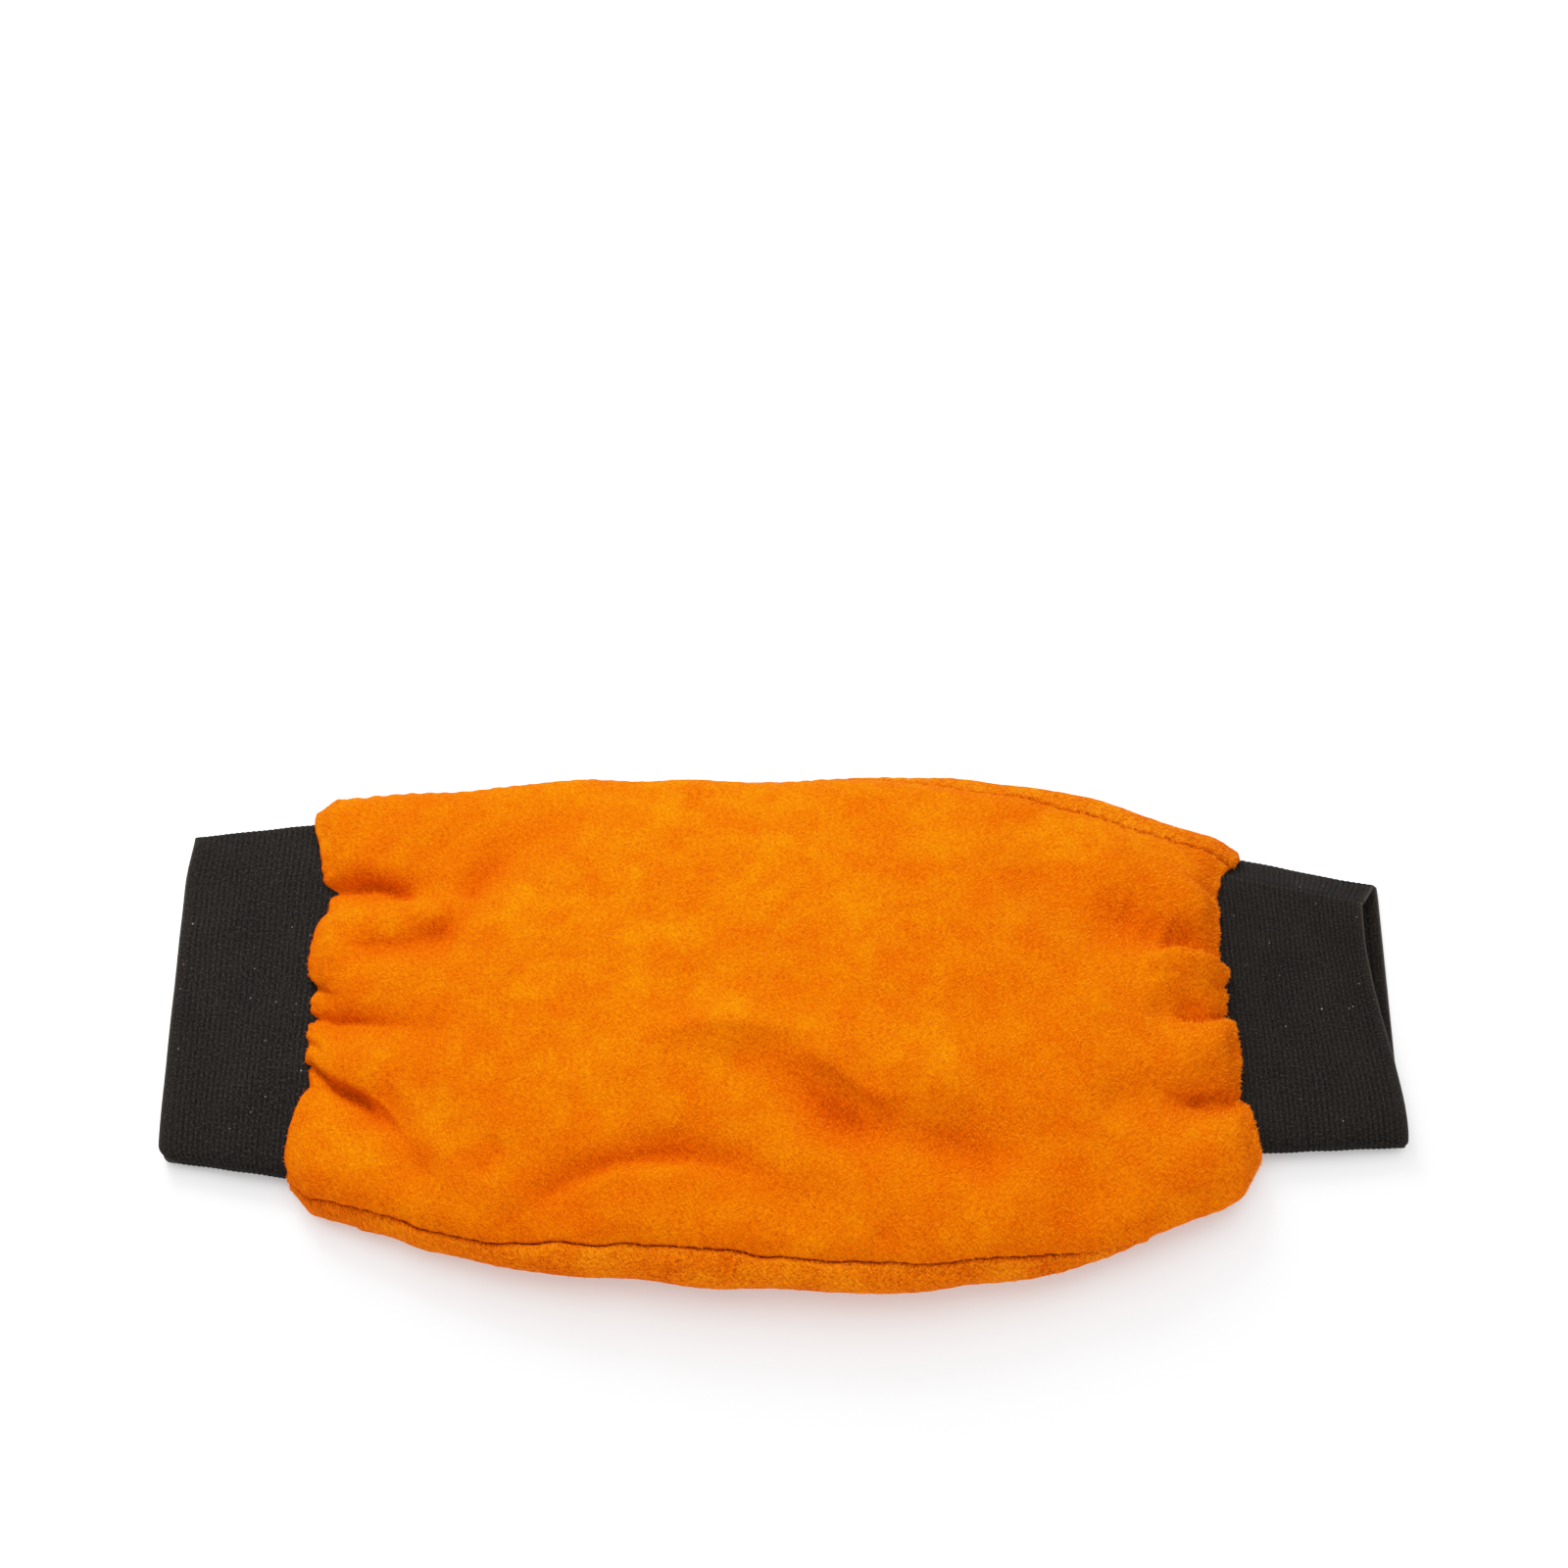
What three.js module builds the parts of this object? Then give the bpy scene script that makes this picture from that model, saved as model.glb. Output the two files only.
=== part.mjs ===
// A welding sleeve of split leather with an elastic cuff at each end, lying flat as it is stored.
// Two leather panels are sewn along the near and the far side into a tube. Each end of the tube is
// gathered onto a flat tube of ribbed elastic. X runs along the arm, with the upper arm at -X and
// the wrist at +X. -Y is the near side, +Y the far side, and Z = 0 is what the sleeve lies on.

import * as THREE from 'three';

// Driving sizes, in millimetres

const leatherWall = 1.6;
const elasticWall = 1.5;
const seamGap = 0.3; // left between the two panels along each side seam
const cuffClearance = 0.35; // left between a tucked cuff and the leather around it

const leatherLength = 331; // from one gathered edge to the other
const bodyWidth = 195; // across the fullest section of the leather
const bodyRise = 47; // the same section's height
const bodyFlat = 1.2; // how far the underside is pressed flat by what it lies on
const bodySquareness = 2.4; // exponent of the fullest section: 2 is an ellipse, more is boxier

const puffRise = 6.5; // how far the fullest puff beside a gathered edge stands out
const puffOnset = 9; // distance from the edge at which a puff is full
const puffFade = 44; // distance from the edge at which a puff has mostly died away
const hemPuff = 2.5; // how far a puff stands out at the gathered edge itself
const hemWander = 8; // how far the gathered edge wanders along the sleeve
const hemWanderFade = 30; // distance from the edge at which that wander has died away
const foldDepth = 7; // the deepest fold
const foldWidth = 14; // half the width of a broad fold
const seamDip = 1.6; // how far the leather dips into a side seam
const seamDipWidth = 4.5; // half the width of that dip

const upperCuffShown = 50; // length of elastic that shows beyond the leather
const upperCuffMouthWidth = 127.5;
const upperCuffJointWidth = 139.5;
const upperCuffThickness = 12;
const upperCuffMouthShift = 20.5; // the mouth's centre lies this much towards the far side
const upperCuffJointShift = 19;
const upperCuffSkew = 4; // the mouth's far corner reaches this much further than its near one

const wristCuffShown = 58;
const wristCuffMouthWidth = 106.5;
const wristCuffJointWidth = 122;
const wristCuffThickness = 12.5;
const wristCuffMouthShift = 15.3;
const wristCuffJointShift = 19.5;
const wristCuffSkew = 3.7;
const wristCuffRecess = 9; // the mouth's upper layer ends this much short of the lower one
const wristCuffMouthSlant = 14.5; // the far side leans back over the mouth by this much
const wristCuffJointSlant = 13.5;

const cuffTuck = 8; // length of elastic hidden inside the leather
const cuffSquareness = 4;
const wristCuffCrease = 8; // the same exponent for the creased far side of the wrist cuff's mouth
const jointLift = 3; // height of a cuff's underside where it leaves the leather

// Tables. Each length is a share of a named size, and the columns in between run smoothly.

// The leather between its ends: 0 is the outline of the gathered ends, 1 is the fullest section.
const BODY = [
  { at: 0.0, near: 0.0, far: 0.0, rise: 0.0 },
  { at: 0.03, near: 0.19, far: 0.42, rise: 0.18 },
  { at: 0.07, near: 0.32, far: 0.65, rise: 0.36 },
  { at: 0.14, near: 0.54, far: 0.88, rise: 0.58 },
  { at: 0.24, near: 0.76, far: 1.16, rise: 0.8 },
  { at: 0.36, near: 0.85, far: 1.16, rise: 0.94 },
  { at: 0.5, near: 0.93, far: 1.1, rise: 1.0 },
  { at: 0.62, near: 0.96, far: 1.14, rise: 1.0 },
  { at: 0.74, near: 0.87, far: 1.04, rise: 0.92 },
  { at: 0.84, near: 0.71, far: 0.8, rise: 0.78 },
  { at: 0.92, near: 0.46, far: 0.4, rise: 0.56 },
  { at: 0.97, near: 0.27, far: 0.17, rise: 0.3 },
  { at: 1.0, near: 0.0, far: 0.0, rise: 0.0 },
];

// Where the side seams run, from the near edge (0) over the top to the far edge (1).
const SEAMS = [
  { at: 0.0, near: 0.01, far: 0.985 },
  { at: 0.09, near: 0.03, far: 0.985 },
  { at: 0.19, near: 0.035, far: 0.985 },
  { at: 0.33, near: 0.065, far: 0.985 },
  { at: 0.5, near: 0.062, far: 0.975 },
  { at: 0.64, near: 0.055, far: 0.955 },
  { at: 0.75, near: 0.042, far: 0.925 },
  { at: 0.85, near: 0.005, far: 0.905 },
  { at: 0.94, near: -0.04, far: 0.905 },
  { at: 1.0, near: -0.05, far: 0.95 },
];

// The gathers of each end, around the loop from the near edge over the top (0 to 1) and back
// underneath (1 to 2). puff is a share of puffRise, and edge a share of hemWander, outwards.
const UPPER_GATHERS = [
  { around: 0.02, puff: 0.5, edge: 0.15 },
  { around: 0.1, puff: 0.85, edge: 0.26 },
  { around: 0.18, puff: 0.7, edge: 0.02 },
  { around: 0.25, puff: 0.1, edge: -0.34 },
  { around: 0.33, puff: 0.45, edge: -0.12 },
  { around: 0.43, puff: 0.1, edge: -0.12 },
  { around: 0.5, puff: 0.3, edge: -0.12 },
  { around: 0.59, puff: 0.85, edge: 0.13 },
  { around: 0.66, puff: 0.6, edge: 0.0 },
  { around: 0.73, puff: 0.0, edge: -0.42 },
  { around: 0.8, puff: 0.45, edge: -0.08 },
  { around: 0.89, puff: 0.75, edge: 0.25 },
  { around: 0.97, puff: 0.8, edge: 0.5 },
  { around: 1.1, puff: 0.6, edge: 0.2 },
  { around: 1.24, puff: 0.05, edge: -0.1 },
  { around: 1.38, puff: 0.7, edge: 0.15 },
  { around: 1.52, puff: 0.05, edge: -0.1 },
  { around: 1.66, puff: 0.7, edge: 0.15 },
  { around: 1.8, puff: 0.05, edge: -0.05 },
  { around: 1.92, puff: 0.5, edge: 0.1 },
];

const WRIST_GATHERS = [
  { around: 0.02, puff: 0.5, edge: 0.54 },
  { around: 0.08, puff: 0.75, edge: 0.32 },
  { around: 0.14, puff: 0.8, edge: 0.09 },
  { around: 0.22, puff: 0.1, edge: -0.18 },
  { around: 0.3, puff: 0.5, edge: -0.03 },
  { around: 0.38, puff: 0.7, edge: -0.1 },
  { around: 0.46, puff: 0.15, edge: -0.3 },
  { around: 0.53, puff: 0.2, edge: -0.38 },
  { around: 0.6, puff: 0.65, edge: -0.14 },
  { around: 0.66, puff: 0.1, edge: -0.33 },
  { around: 0.77, puff: 0.75, edge: -0.4 },
  { around: 0.87, puff: 0.4, edge: -0.27 },
  { around: 0.93, puff: 0.6, edge: 0.1 },
  { around: 0.98, puff: 0.6, edge: 0.85 },
  { around: 1.03, puff: 0.6, edge: 1.05 },
  { around: 1.12, puff: 0.7, edge: 0.5 },
  { around: 1.28, puff: 0.05, edge: 0.2 },
  { around: 1.45, puff: 0.75, edge: 0.4 },
  { around: 1.62, puff: 0.05, edge: 0.2 },
  { around: 1.78, puff: 0.75, edge: 0.45 },
  { around: 1.9, puff: 0.2, edge: 0.5 },
];

// Dents and ridges of the upper side. Each runs straight from one point to another: at is the
// share of the leather's length and around the share of the way over the top. depth is a share
// of foldDepth, inwards, and width a share of foldWidth.
const FOLDS = [
  { at: 0.02, around: 0.755, toAt: 0.13, toAround: 0.725, depth: 0.5, width: 0.5 },
  { at: 0.13, around: 0.725, toAt: 0.17, toAround: 0.69, depth: 0.5, width: 0.5 },
  { at: 0.17, around: 0.69, toAt: 0.14, toAround: 0.63, depth: 0.4, width: 0.5 },
  { at: 0.14, around: 0.63, toAt: 0.07, toAround: 0.61, depth: 0.3, width: 0.55 },
  { at: 0.18, around: 0.74, toAt: 0.26, toAround: 0.85, depth: 0.5, width: 0.8 },
  { at: 0.02, around: 0.43, toAt: 0.14, toAround: 0.44, depth: 0.4, width: 0.5 },
  { at: 0.02, around: 0.3, toAt: 0.09, toAround: 0.265, depth: 0.5, width: 0.5 },
  { at: 0.09, around: 0.265, toAt: 0.135, toAround: 0.15, depth: 0.6, width: 0.55 },
  { at: 0.25, around: 0.08, toAt: 0.33, toAround: 0.18, depth: 0.5, width: 0.7 },
  { at: 0.33, around: 0.18, toAt: 0.4, toAround: 0.22, depth: 0.5, width: 0.7 },
  { at: 0.4, around: 0.21, toAt: 0.53, toAround: 0.16, depth: 0.4, width: 0.8 },
  { at: 0.35, around: 0.415, toAt: 0.43, toAround: 0.45, depth: -0.3, width: 0.8 },
  { at: 0.43, around: 0.45, toAt: 0.6, toAround: 0.41, depth: -0.4, width: 0.8 },
  { at: 0.49, around: 0.4, toAt: 0.57, toAround: 0.31, depth: 0.5, width: 0.8 },
  { at: 0.57, around: 0.31, toAt: 0.64, toAround: 0.27, depth: 0.7, width: 0.9 },
  { at: 0.64, around: 0.27, toAt: 0.71, toAround: 0.21, depth: 0.5, width: 0.9 },
  { at: 0.61, around: 0.4, toAt: 0.66, toAround: 0.36, depth: -0.4, width: 0.7 },
  { at: 0.99, around: 0.655, toAt: 0.87, toAround: 0.625, depth: 0.5, width: 0.5 },
  { at: 0.87, around: 0.64, toAt: 0.79, toAround: 0.74, depth: 0.6, width: 0.9 },
  { at: 0.99, around: 0.455, toAt: 0.92, toAround: 0.465, depth: 0.4, width: 0.5 },
  { at: 0.98, around: 0.24, toAt: 0.86, toAround: 0.295, depth: 0.5, width: 0.6 },
  { at: 0.75, around: 0.25, toAt: 0.82, toAround: 0.13, depth: 0.5, width: 1.0 },
];

// How finely the surfaces are cut

const lengthSteps = 44; // along the leather
const topSteps = 24; // around the top panel
const underSteps = 18; // around the under panel
const cuffSteps = 44; // around a cuff
const cuffRows = [0, 0.34, 0.67, 1]; // along the part of a cuff that shows
const halfSteps = 180; // along each half of a section's outline
const probe = 0.004; // step with which a surface's slope is felt
const endCrowding = 0.6; // 0 for even steps along the leather, 1 for steps that crowd at its ends
const seamCrowding = 0.5; // the same for the steps from seam to seam

const mix = (a, b, share) => a + (b - a) * share;
const clamp = (value, low, high) => Math.min(Math.max(value, low), high);
const bell = (distance, width) => Math.exp(-((distance / width) ** 2));
const ease = (share) => share * share * (3 - 2 * share);
const signedPower = (value, power) => Math.sign(value) * Math.abs(value) ** power;

// Reads one column of a table at a place between its rows, along a smooth curve.
function follow(rows, key, column, place, period = 0) {
  const count = rows.length;
  const row = (i) => (period ? rows[(i + count) % count] : rows[clamp(i, 0, count - 1)]);
  const at = (i) => row(i)[key] + (period ? period * Math.floor(i / count) : 0);
  const around = () => at(0) + ((((place - at(0)) % period) + period) % period);
  const wanted = period ? around() : clamp(place, at(0), at(count - 1));
  let i = 0;
  while (i < count - (period ? 1 : 2) && at(i + 1) < wanted) i += 1;
  const slope = (j) => {
    const run = at(j + 1) - at(j - 1);
    return run ? (row(j + 1)[column] - row(j - 1)[column]) / run : 0;
  };
  const span = at(i + 1) - at(i);
  const t = clamp((wanted - at(i)) / span, 0, 1);
  const low = row(i)[column];
  const high = row(i + 1)[column];
  const bend = t * (1 - t) * span * ((1 - t) * slope(i) - t * slope(i + 1));
  return mix(low, high, ease(t)) + bend;
}

// Cuts a line of [y, z] points into even steps of its own length.
function evenSteps(line) {
  const reach = [0];
  for (let i = 1; i < line.length; i += 1) {
    const step = Math.hypot(line[i][0] - line[i - 1][0], line[i][1] - line[i - 1][1]);
    reach.push(reach[i - 1] + step);
  }
  const total = reach[reach.length - 1];
  const cut = [];
  let i = 0;
  for (let k = 0; k <= halfSteps; k += 1) {
    const wanted = (total * k) / halfSteps;
    while (i < line.length - 2 && reach[i + 1] < wanted) i += 1;
    const share = clamp((wanted - reach[i]) / (reach[i + 1] - reach[i]), 0, 1);
    cut.push([mix(line[i][0], line[i + 1][0], share), mix(line[i][1], line[i + 1][1], share)]);
  }
  return cut;
}

// A closed section as 2 * halfSteps points: from the near edge over the top to the far edge, then
// back underneath. The far side can have its own squareness, and slant pushes its top back over
// the section.
function section({ width, shift, lift, thickness, squareness, farSquareness, slant = 0 }) {
  const outline = (from, to) => {
    const line = [];
    for (let k = 0; k <= halfSteps * 4; k += 1) {
      const angle = mix(from, to, k / (halfSteps * 4));
      const power = 2 / (Math.cos(angle) < 0 && farSquareness ? farSquareness : squareness);
      const across = -signedPower(Math.cos(angle), power);
      const up = 0.5 + 0.5 * signedPower(Math.sin(angle), power);
      const y = shift + (width / 2) * across - slant * up * ease(clamp(across, 0, 1));
      line.push([y, lift + thickness * up]);
    }
    return evenSteps(line);
  };
  const over = outline(0, Math.PI);
  const under = outline(Math.PI, 2 * Math.PI);
  return [...over.slice(0, -1), ...under.slice(0, -1)];
}

// The section with its outline moved outwards by the same distance everywhere.
function outset(loop, distance) {
  return loop.map((point, i) => {
    const before = loop[(i + loop.length - 2) % loop.length];
    const after = loop[(i + 2) % loop.length];
    const length = Math.hypot(after[0] - before[0], after[1] - before[1]);
    const side = (after[0] - before[0]) / length;
    const climb = (after[1] - before[1]) / length;
    return [point[0] - climb * distance, point[1] + side * distance];
  });
}

// The point of a section at a place around it: 0 to 1 over the top, 1 to 2 underneath.
function pointAt(loop, around) {
  const place = ((((around / 2) % 1) + 1) % 1) * loop.length;
  const i = Math.floor(place) % loop.length;
  const next = loop[(i + 1) % loop.length];
  const share = place - Math.floor(place);
  return [mix(loop[i][0], next[0], share), mix(loop[i][1], next[1], share)];
}

// Sections

const bodyLoop = section({
  width: bodyWidth,
  shift: 0,
  lift: -bodyFlat,
  thickness: bodyRise + bodyFlat,
  squareness: bodySquareness,
});

const upperCuff = {
  side: -1,
  shown: upperCuffShown,
  skew: upperCuffSkew,
  recess: 0,
  mouth: {
    width: upperCuffMouthWidth,
    shift: upperCuffMouthShift,
    lift: 0,
    thickness: upperCuffThickness,
    squareness: cuffSquareness,
  },
  joint: {
    width: upperCuffJointWidth,
    shift: upperCuffJointShift,
    lift: jointLift,
    thickness: upperCuffThickness,
    squareness: cuffSquareness,
  },
};

const wristCuff = {
  side: 1,
  shown: wristCuffShown,
  skew: wristCuffSkew,
  recess: wristCuffRecess,
  mouth: {
    width: wristCuffMouthWidth,
    shift: wristCuffMouthShift,
    lift: 0,
    thickness: wristCuffThickness,
    squareness: cuffSquareness,
    farSquareness: wristCuffCrease,
    slant: wristCuffMouthSlant,
  },
  joint: {
    width: wristCuffJointWidth,
    shift: wristCuffJointShift,
    lift: jointLift,
    thickness: wristCuffThickness,
    squareness: cuffSquareness,
    slant: wristCuffJointSlant,
  },
};

for (const cuff of [upperCuff, wristCuff]) {
  cuff.mouthLoop = section(cuff.mouth);
  cuff.jointLoop = section(cuff.joint);
  cuff.hemLoop = outset(cuff.jointLoop, cuffClearance + leatherWall);
}

// Leather

const jointX = (cuff) => (cuff.side * leatherLength) / 2;

function loopLength(loop) {
  return loop.reduce((sum, point, i) => {
    const next = loop[(i + 1) % loop.length];
    return sum + Math.hypot(next[0] - point[0], next[1] - point[1]);
  }, 0);
}

// Millimetres along the outline from the near edge over the top to the far edge.
function overTop(at) {
  const ends = mix(loopLength(upperCuff.hemLoop), loopLength(wristCuff.hemLoop), at) / 2;
  const fullness = clamp(follow(BODY, 'at', 'near', at), 0, 1);
  return mix(ends, loopLength(bodyLoop) / 2, fullness);
}

// How far the puffs of one end stand out, at a distance from its gathered edge.
function puffOut(gathers, distance, around) {
  const puff = Math.max(0, follow(gathers, 'around', 'puff', around, 2));
  const onset = mix(hemPuff / puffRise, 1, ease(clamp(distance / puffOnset, 0, 1)));
  return puffRise * puff * onset * bell(distance, puffFade);
}

// How deep the folds of the upper side press in at one place: the deepest dent there, less the
// highest ridge.
function foldIn(at, around) {
  const reach = overTop(at);
  let dent = 0;
  let ridge = 0;
  for (const fold of FOLDS) {
    const run = [(fold.toAt - fold.at) * leatherLength, (fold.toAround - fold.around) * reach];
    const off = [(at - fold.at) * leatherLength, (around - fold.around) * reach];
    const share = clamp((off[0] * run[0] + off[1] * run[1]) / (run[0] ** 2 + run[1] ** 2), 0, 1);
    const distance = Math.hypot(off[0] - share * run[0], off[1] - share * run[1]);
    const depth = fold.depth * bell(distance, fold.width * foldWidth);
    dent = Math.max(dent, depth);
    ridge = Math.min(ridge, depth);
  }
  return foldDepth * (dent + ridge);
}

// A point of the leather's outside without its relief, with at from the upper arm's end (0) to the
// wrist's (1).
function leatherPoint(at, around) {
  const place = clamp(at, 0, 1);
  const upper = pointAt(upperCuff.hemLoop, around);
  const wrist = pointAt(wristCuff.hemLoop, around);
  const end = [mix(upper[0], wrist[0], place), mix(upper[1], wrist[1], place)];
  const full = pointAt(bodyLoop, around);
  const farness = ease(clamp(full[0] / bodyWidth + 0.5, 0, 1));
  const near = follow(BODY, 'at', 'near', place);
  const far = follow(BODY, 'at', 'far', place);
  const y = mix(end[0], full[0], mix(near, far, farness));
  const z = mix(end[1], full[1], follow(BODY, 'at', 'rise', place));

  const wander = (gathers, distance) =>
    follow(gathers, 'around', 'edge', around, 2) * bell(distance, hemWanderFade);
  const towardsUpper = wander(UPPER_GATHERS, place * leatherLength);
  const towardsWrist = wander(WRIST_GATHERS, (1 - place) * leatherLength);
  const x = (at - 0.5) * leatherLength + hemWander * (towardsWrist - towardsUpper);
  return new THREE.Vector3(x, y, z);
}

// The outward direction of a surface at one place.
function outward(surface, u, v) {
  const alongU = surface(u + probe, v).sub(surface(u - probe, v));
  const alongV = surface(u, v + probe).sub(surface(u, v - probe));
  return alongU.cross(alongV).normalize();
}

// The leather's outside with its puffs, folds and seam dips, pressed flat where it lies.
function leatherSurface(at, around) {
  const place = clamp(at, 0, 1);
  const fromUpper = place * leatherLength;
  const fromWrist = (1 - place) * leatherLength;
  const wrapped = ((around % 2) + 2) % 2;
  const clearOfHem = ease(clamp(Math.min(fromUpper, fromWrist) / (2 * puffOnset), 0, 1));
  let out = puffOut(UPPER_GATHERS, fromUpper, around) + puffOut(WRIST_GATHERS, fromWrist, around);
  if (wrapped < 1) out -= foldIn(place, wrapped) * clearOfHem;
  for (const side of ['near', 'far']) {
    const offset = wrapped - follow(SEAMS, 'at', side, place);
    const distance = Math.min(Math.abs(offset), Math.abs(2 - offset)) * overTop(place);
    out -= seamDip * clearOfHem * bell(distance, seamDipWidth);
  }
  const point = leatherPoint(at, around);
  const direction = outward(leatherPoint, at, around);
  direction.x *= clearOfHem;
  point.addScaledVector(direction, out);
  point.z = Math.max(0, point.z);
  return point;
}

// A closed wall between two grids of points. A wall that runs all the way round joins its last
// column to its first.
function wallGeometry(outside, inside, closed) {
  const rows = outside.length;
  const columns = outside[0].length;
  const positions = [...outside, ...inside].flat().flatMap((p) => [p.x, p.y, p.z]);
  const index = [];
  const vertex = (layer, i, j) => (layer * rows + i) * columns + (j % columns);
  const quad = (a, b, c, d) => index.push(a, c, b, a, d, c);
  const spans = closed ? columns : columns - 1;
  for (let i = 0; i < rows - 1; i += 1) {
    for (let j = 0; j < spans; j += 1) {
      quad(vertex(0, i, j), vertex(0, i, j + 1), vertex(0, i + 1, j + 1), vertex(0, i + 1, j));
      quad(vertex(1, i, j), vertex(1, i + 1, j), vertex(1, i + 1, j + 1), vertex(1, i, j + 1));
    }
  }
  for (let j = 0; j < spans; j += 1) {
    quad(vertex(0, 0, j), vertex(1, 0, j), vertex(1, 0, j + 1), vertex(0, 0, j + 1));
    const last = rows - 1;
    quad(vertex(0, last, j), vertex(0, last, j + 1), vertex(1, last, j + 1), vertex(1, last, j));
  }
  if (!closed) {
    const last = columns - 1;
    for (let i = 0; i < rows - 1; i += 1) {
      quad(vertex(0, i, 0), vertex(0, i + 1, 0), vertex(1, i + 1, 0), vertex(1, i, 0));
      quad(vertex(0, i, last), vertex(1, i, last), vertex(1, i + 1, last), vertex(0, i + 1, last));
    }
  }
  const geometry = new THREE.BufferGeometry();
  geometry.setAttribute('position', new THREE.Float32BufferAttribute(positions, 3));
  geometry.setIndex(index);
  return geometry;
}

// Shares from 0 to 1, closer together towards both ends.
function crowdedShares(steps, crowding) {
  return Array.from({ length: steps + 1 }, (_, i) => {
    const share = i / steps;
    return mix(share, 0.5 - 0.5 * Math.cos(Math.PI * share), crowding);
  });
}

// One leather panel, from the seam at one side to the seam at the other.
function panelGeometry(steps, seamFrom, seamTo) {
  const outside = [];
  const inside = [];
  for (const at of crowdedShares(lengthSteps, endCrowding)) {
    const halfGap = seamGap / 2 / overTop(at);
    const from = seamFrom(at) + halfGap;
    const to = seamTo(at) - halfGap;
    const places = crowdedShares(steps, seamCrowding).map((share) => mix(from, to, share));
    outside.push(places.map((around) => leatherSurface(at, around)));
    inside.push(
      places.map((around) => {
        const point = leatherSurface(at, around);
        return point.addScaledVector(outward(leatherSurface, at, around), -leatherWall);
      }),
    );
  }
  return wallGeometry(outside, inside, false);
}

const nearSeam = (at) => follow(SEAMS, 'at', 'near', at);
const farSeam = (at) => follow(SEAMS, 'at', 'far', at);

// Elastic

// A cuff's outside, with at from its mouth (0) to where it enters the leather (1) and beyond.
function cuffPoint(cuff, at, around) {
  const share = clamp(at, 0, 1);
  const mouth = pointAt(cuff.mouthLoop, around);
  const joint = pointAt(cuff.jointLoop, around);
  const y = mix(mouth[0], joint[0], share);
  const z = mix(mouth[1], joint[1], share);
  const farness = clamp((mouth[0] - cuff.mouth.shift) / cuff.mouth.width + 0.5, 0, 1);
  const height = mouth[1] / cuff.mouth.thickness;
  const mouthReach = cuff.shown + cuff.skew * (farness - 0.5) - cuff.recess * height * farness;
  const reach = mix(mouthReach, 0, share) - Math.max(0, at - 1) * cuff.shown;
  return new THREE.Vector3(jointX(cuff) + cuff.side * reach, y, z);
}

function cuffGeometry(cuff) {
  const rows = [...cuffRows, 1 + cuffTuck / cuff.shown];
  if (cuff.side > 0) rows.reverse();
  const surface = (at, around) => cuffPoint(cuff, cuff.side < 0 ? at : -at, around);
  const outside = [];
  const inside = [];
  for (const row of rows) {
    const at = cuff.side < 0 ? row : -row;
    const places = Array.from({ length: cuffSteps }, (_, j) => (2 * j) / cuffSteps);
    outside.push(places.map((around) => surface(at, around)));
    inside.push(
      places.map((around) => {
        const point = surface(at, around);
        const inwards = outward(surface, at, around).setX(0).normalize();
        return point.addScaledVector(inwards, -elasticWall);
      }),
    );
  }
  return wallGeometry(outside, inside, true);
}

// Materials

const suedeTop = { color: 0xf08000, roughness: 0.95, metalness: 0 };
const suedeUnder = { color: 0xb85f14, roughness: 0.97, metalness: 0 };
const elastic = { color: 0x24211f, roughness: 0.9, metalness: 0 };

function piece(name, geometry, finish) {
  geometry.computeVertexNormals();
  const mesh = new THREE.Mesh(geometry, new THREE.MeshStandardMaterial(finish));
  mesh.name = name;
  return mesh;
}

const sleeve = new THREE.Group();
sleeve.add(
  piece('top_panel', panelGeometry(topSteps, nearSeam, farSeam), suedeTop),
  piece('under_panel', panelGeometry(underSteps, farSeam, (at) => 2 + nearSeam(at)), suedeUnder),
  piece('upper_arm_cuff', cuffGeometry(upperCuff), elastic),
  piece('wrist_cuff', cuffGeometry(wristCuff), elastic),
);

// The origin is the middle of the sleeve's outline on what it lies on.
const bounds = new THREE.Box3().setFromObject(sleeve);
const centre = bounds.getCenter(new THREE.Vector3());
sleeve.position.set(-centre.x, -centre.y, -bounds.min.z);

const part = new THREE.Group();
part.add(sleeve);

export default part;
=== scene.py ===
import math
from functools import partial

import bpy
import numpy as np
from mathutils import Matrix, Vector


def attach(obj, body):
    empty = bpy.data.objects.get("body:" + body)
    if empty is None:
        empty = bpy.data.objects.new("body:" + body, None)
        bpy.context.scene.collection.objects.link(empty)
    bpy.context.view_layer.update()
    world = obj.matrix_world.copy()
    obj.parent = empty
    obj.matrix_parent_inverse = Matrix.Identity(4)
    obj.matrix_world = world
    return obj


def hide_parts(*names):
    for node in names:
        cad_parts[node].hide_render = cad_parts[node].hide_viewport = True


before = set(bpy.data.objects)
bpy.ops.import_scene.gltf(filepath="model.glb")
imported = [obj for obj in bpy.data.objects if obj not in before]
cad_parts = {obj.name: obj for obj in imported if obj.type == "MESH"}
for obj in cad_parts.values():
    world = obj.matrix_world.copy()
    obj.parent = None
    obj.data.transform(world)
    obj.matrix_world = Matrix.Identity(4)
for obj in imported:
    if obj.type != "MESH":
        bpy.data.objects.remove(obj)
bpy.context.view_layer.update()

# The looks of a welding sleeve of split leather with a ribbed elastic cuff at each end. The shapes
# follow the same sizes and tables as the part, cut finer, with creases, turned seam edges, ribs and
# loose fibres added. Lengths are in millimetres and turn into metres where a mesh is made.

MM = 0.001

# Sizes of the part

ORIGIN = (-3.690, -2.364, 0.0)  # from the middle of the leather to the middle of the whole sleeve
LEATHER_WALL = 1.6
ELASTIC_WALL = 1.5
SEAM_GAP = 0.3  # between the two panels
CUFF_CLEARANCE = 0.35  # between the leather and a cuff tucked into it

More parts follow.
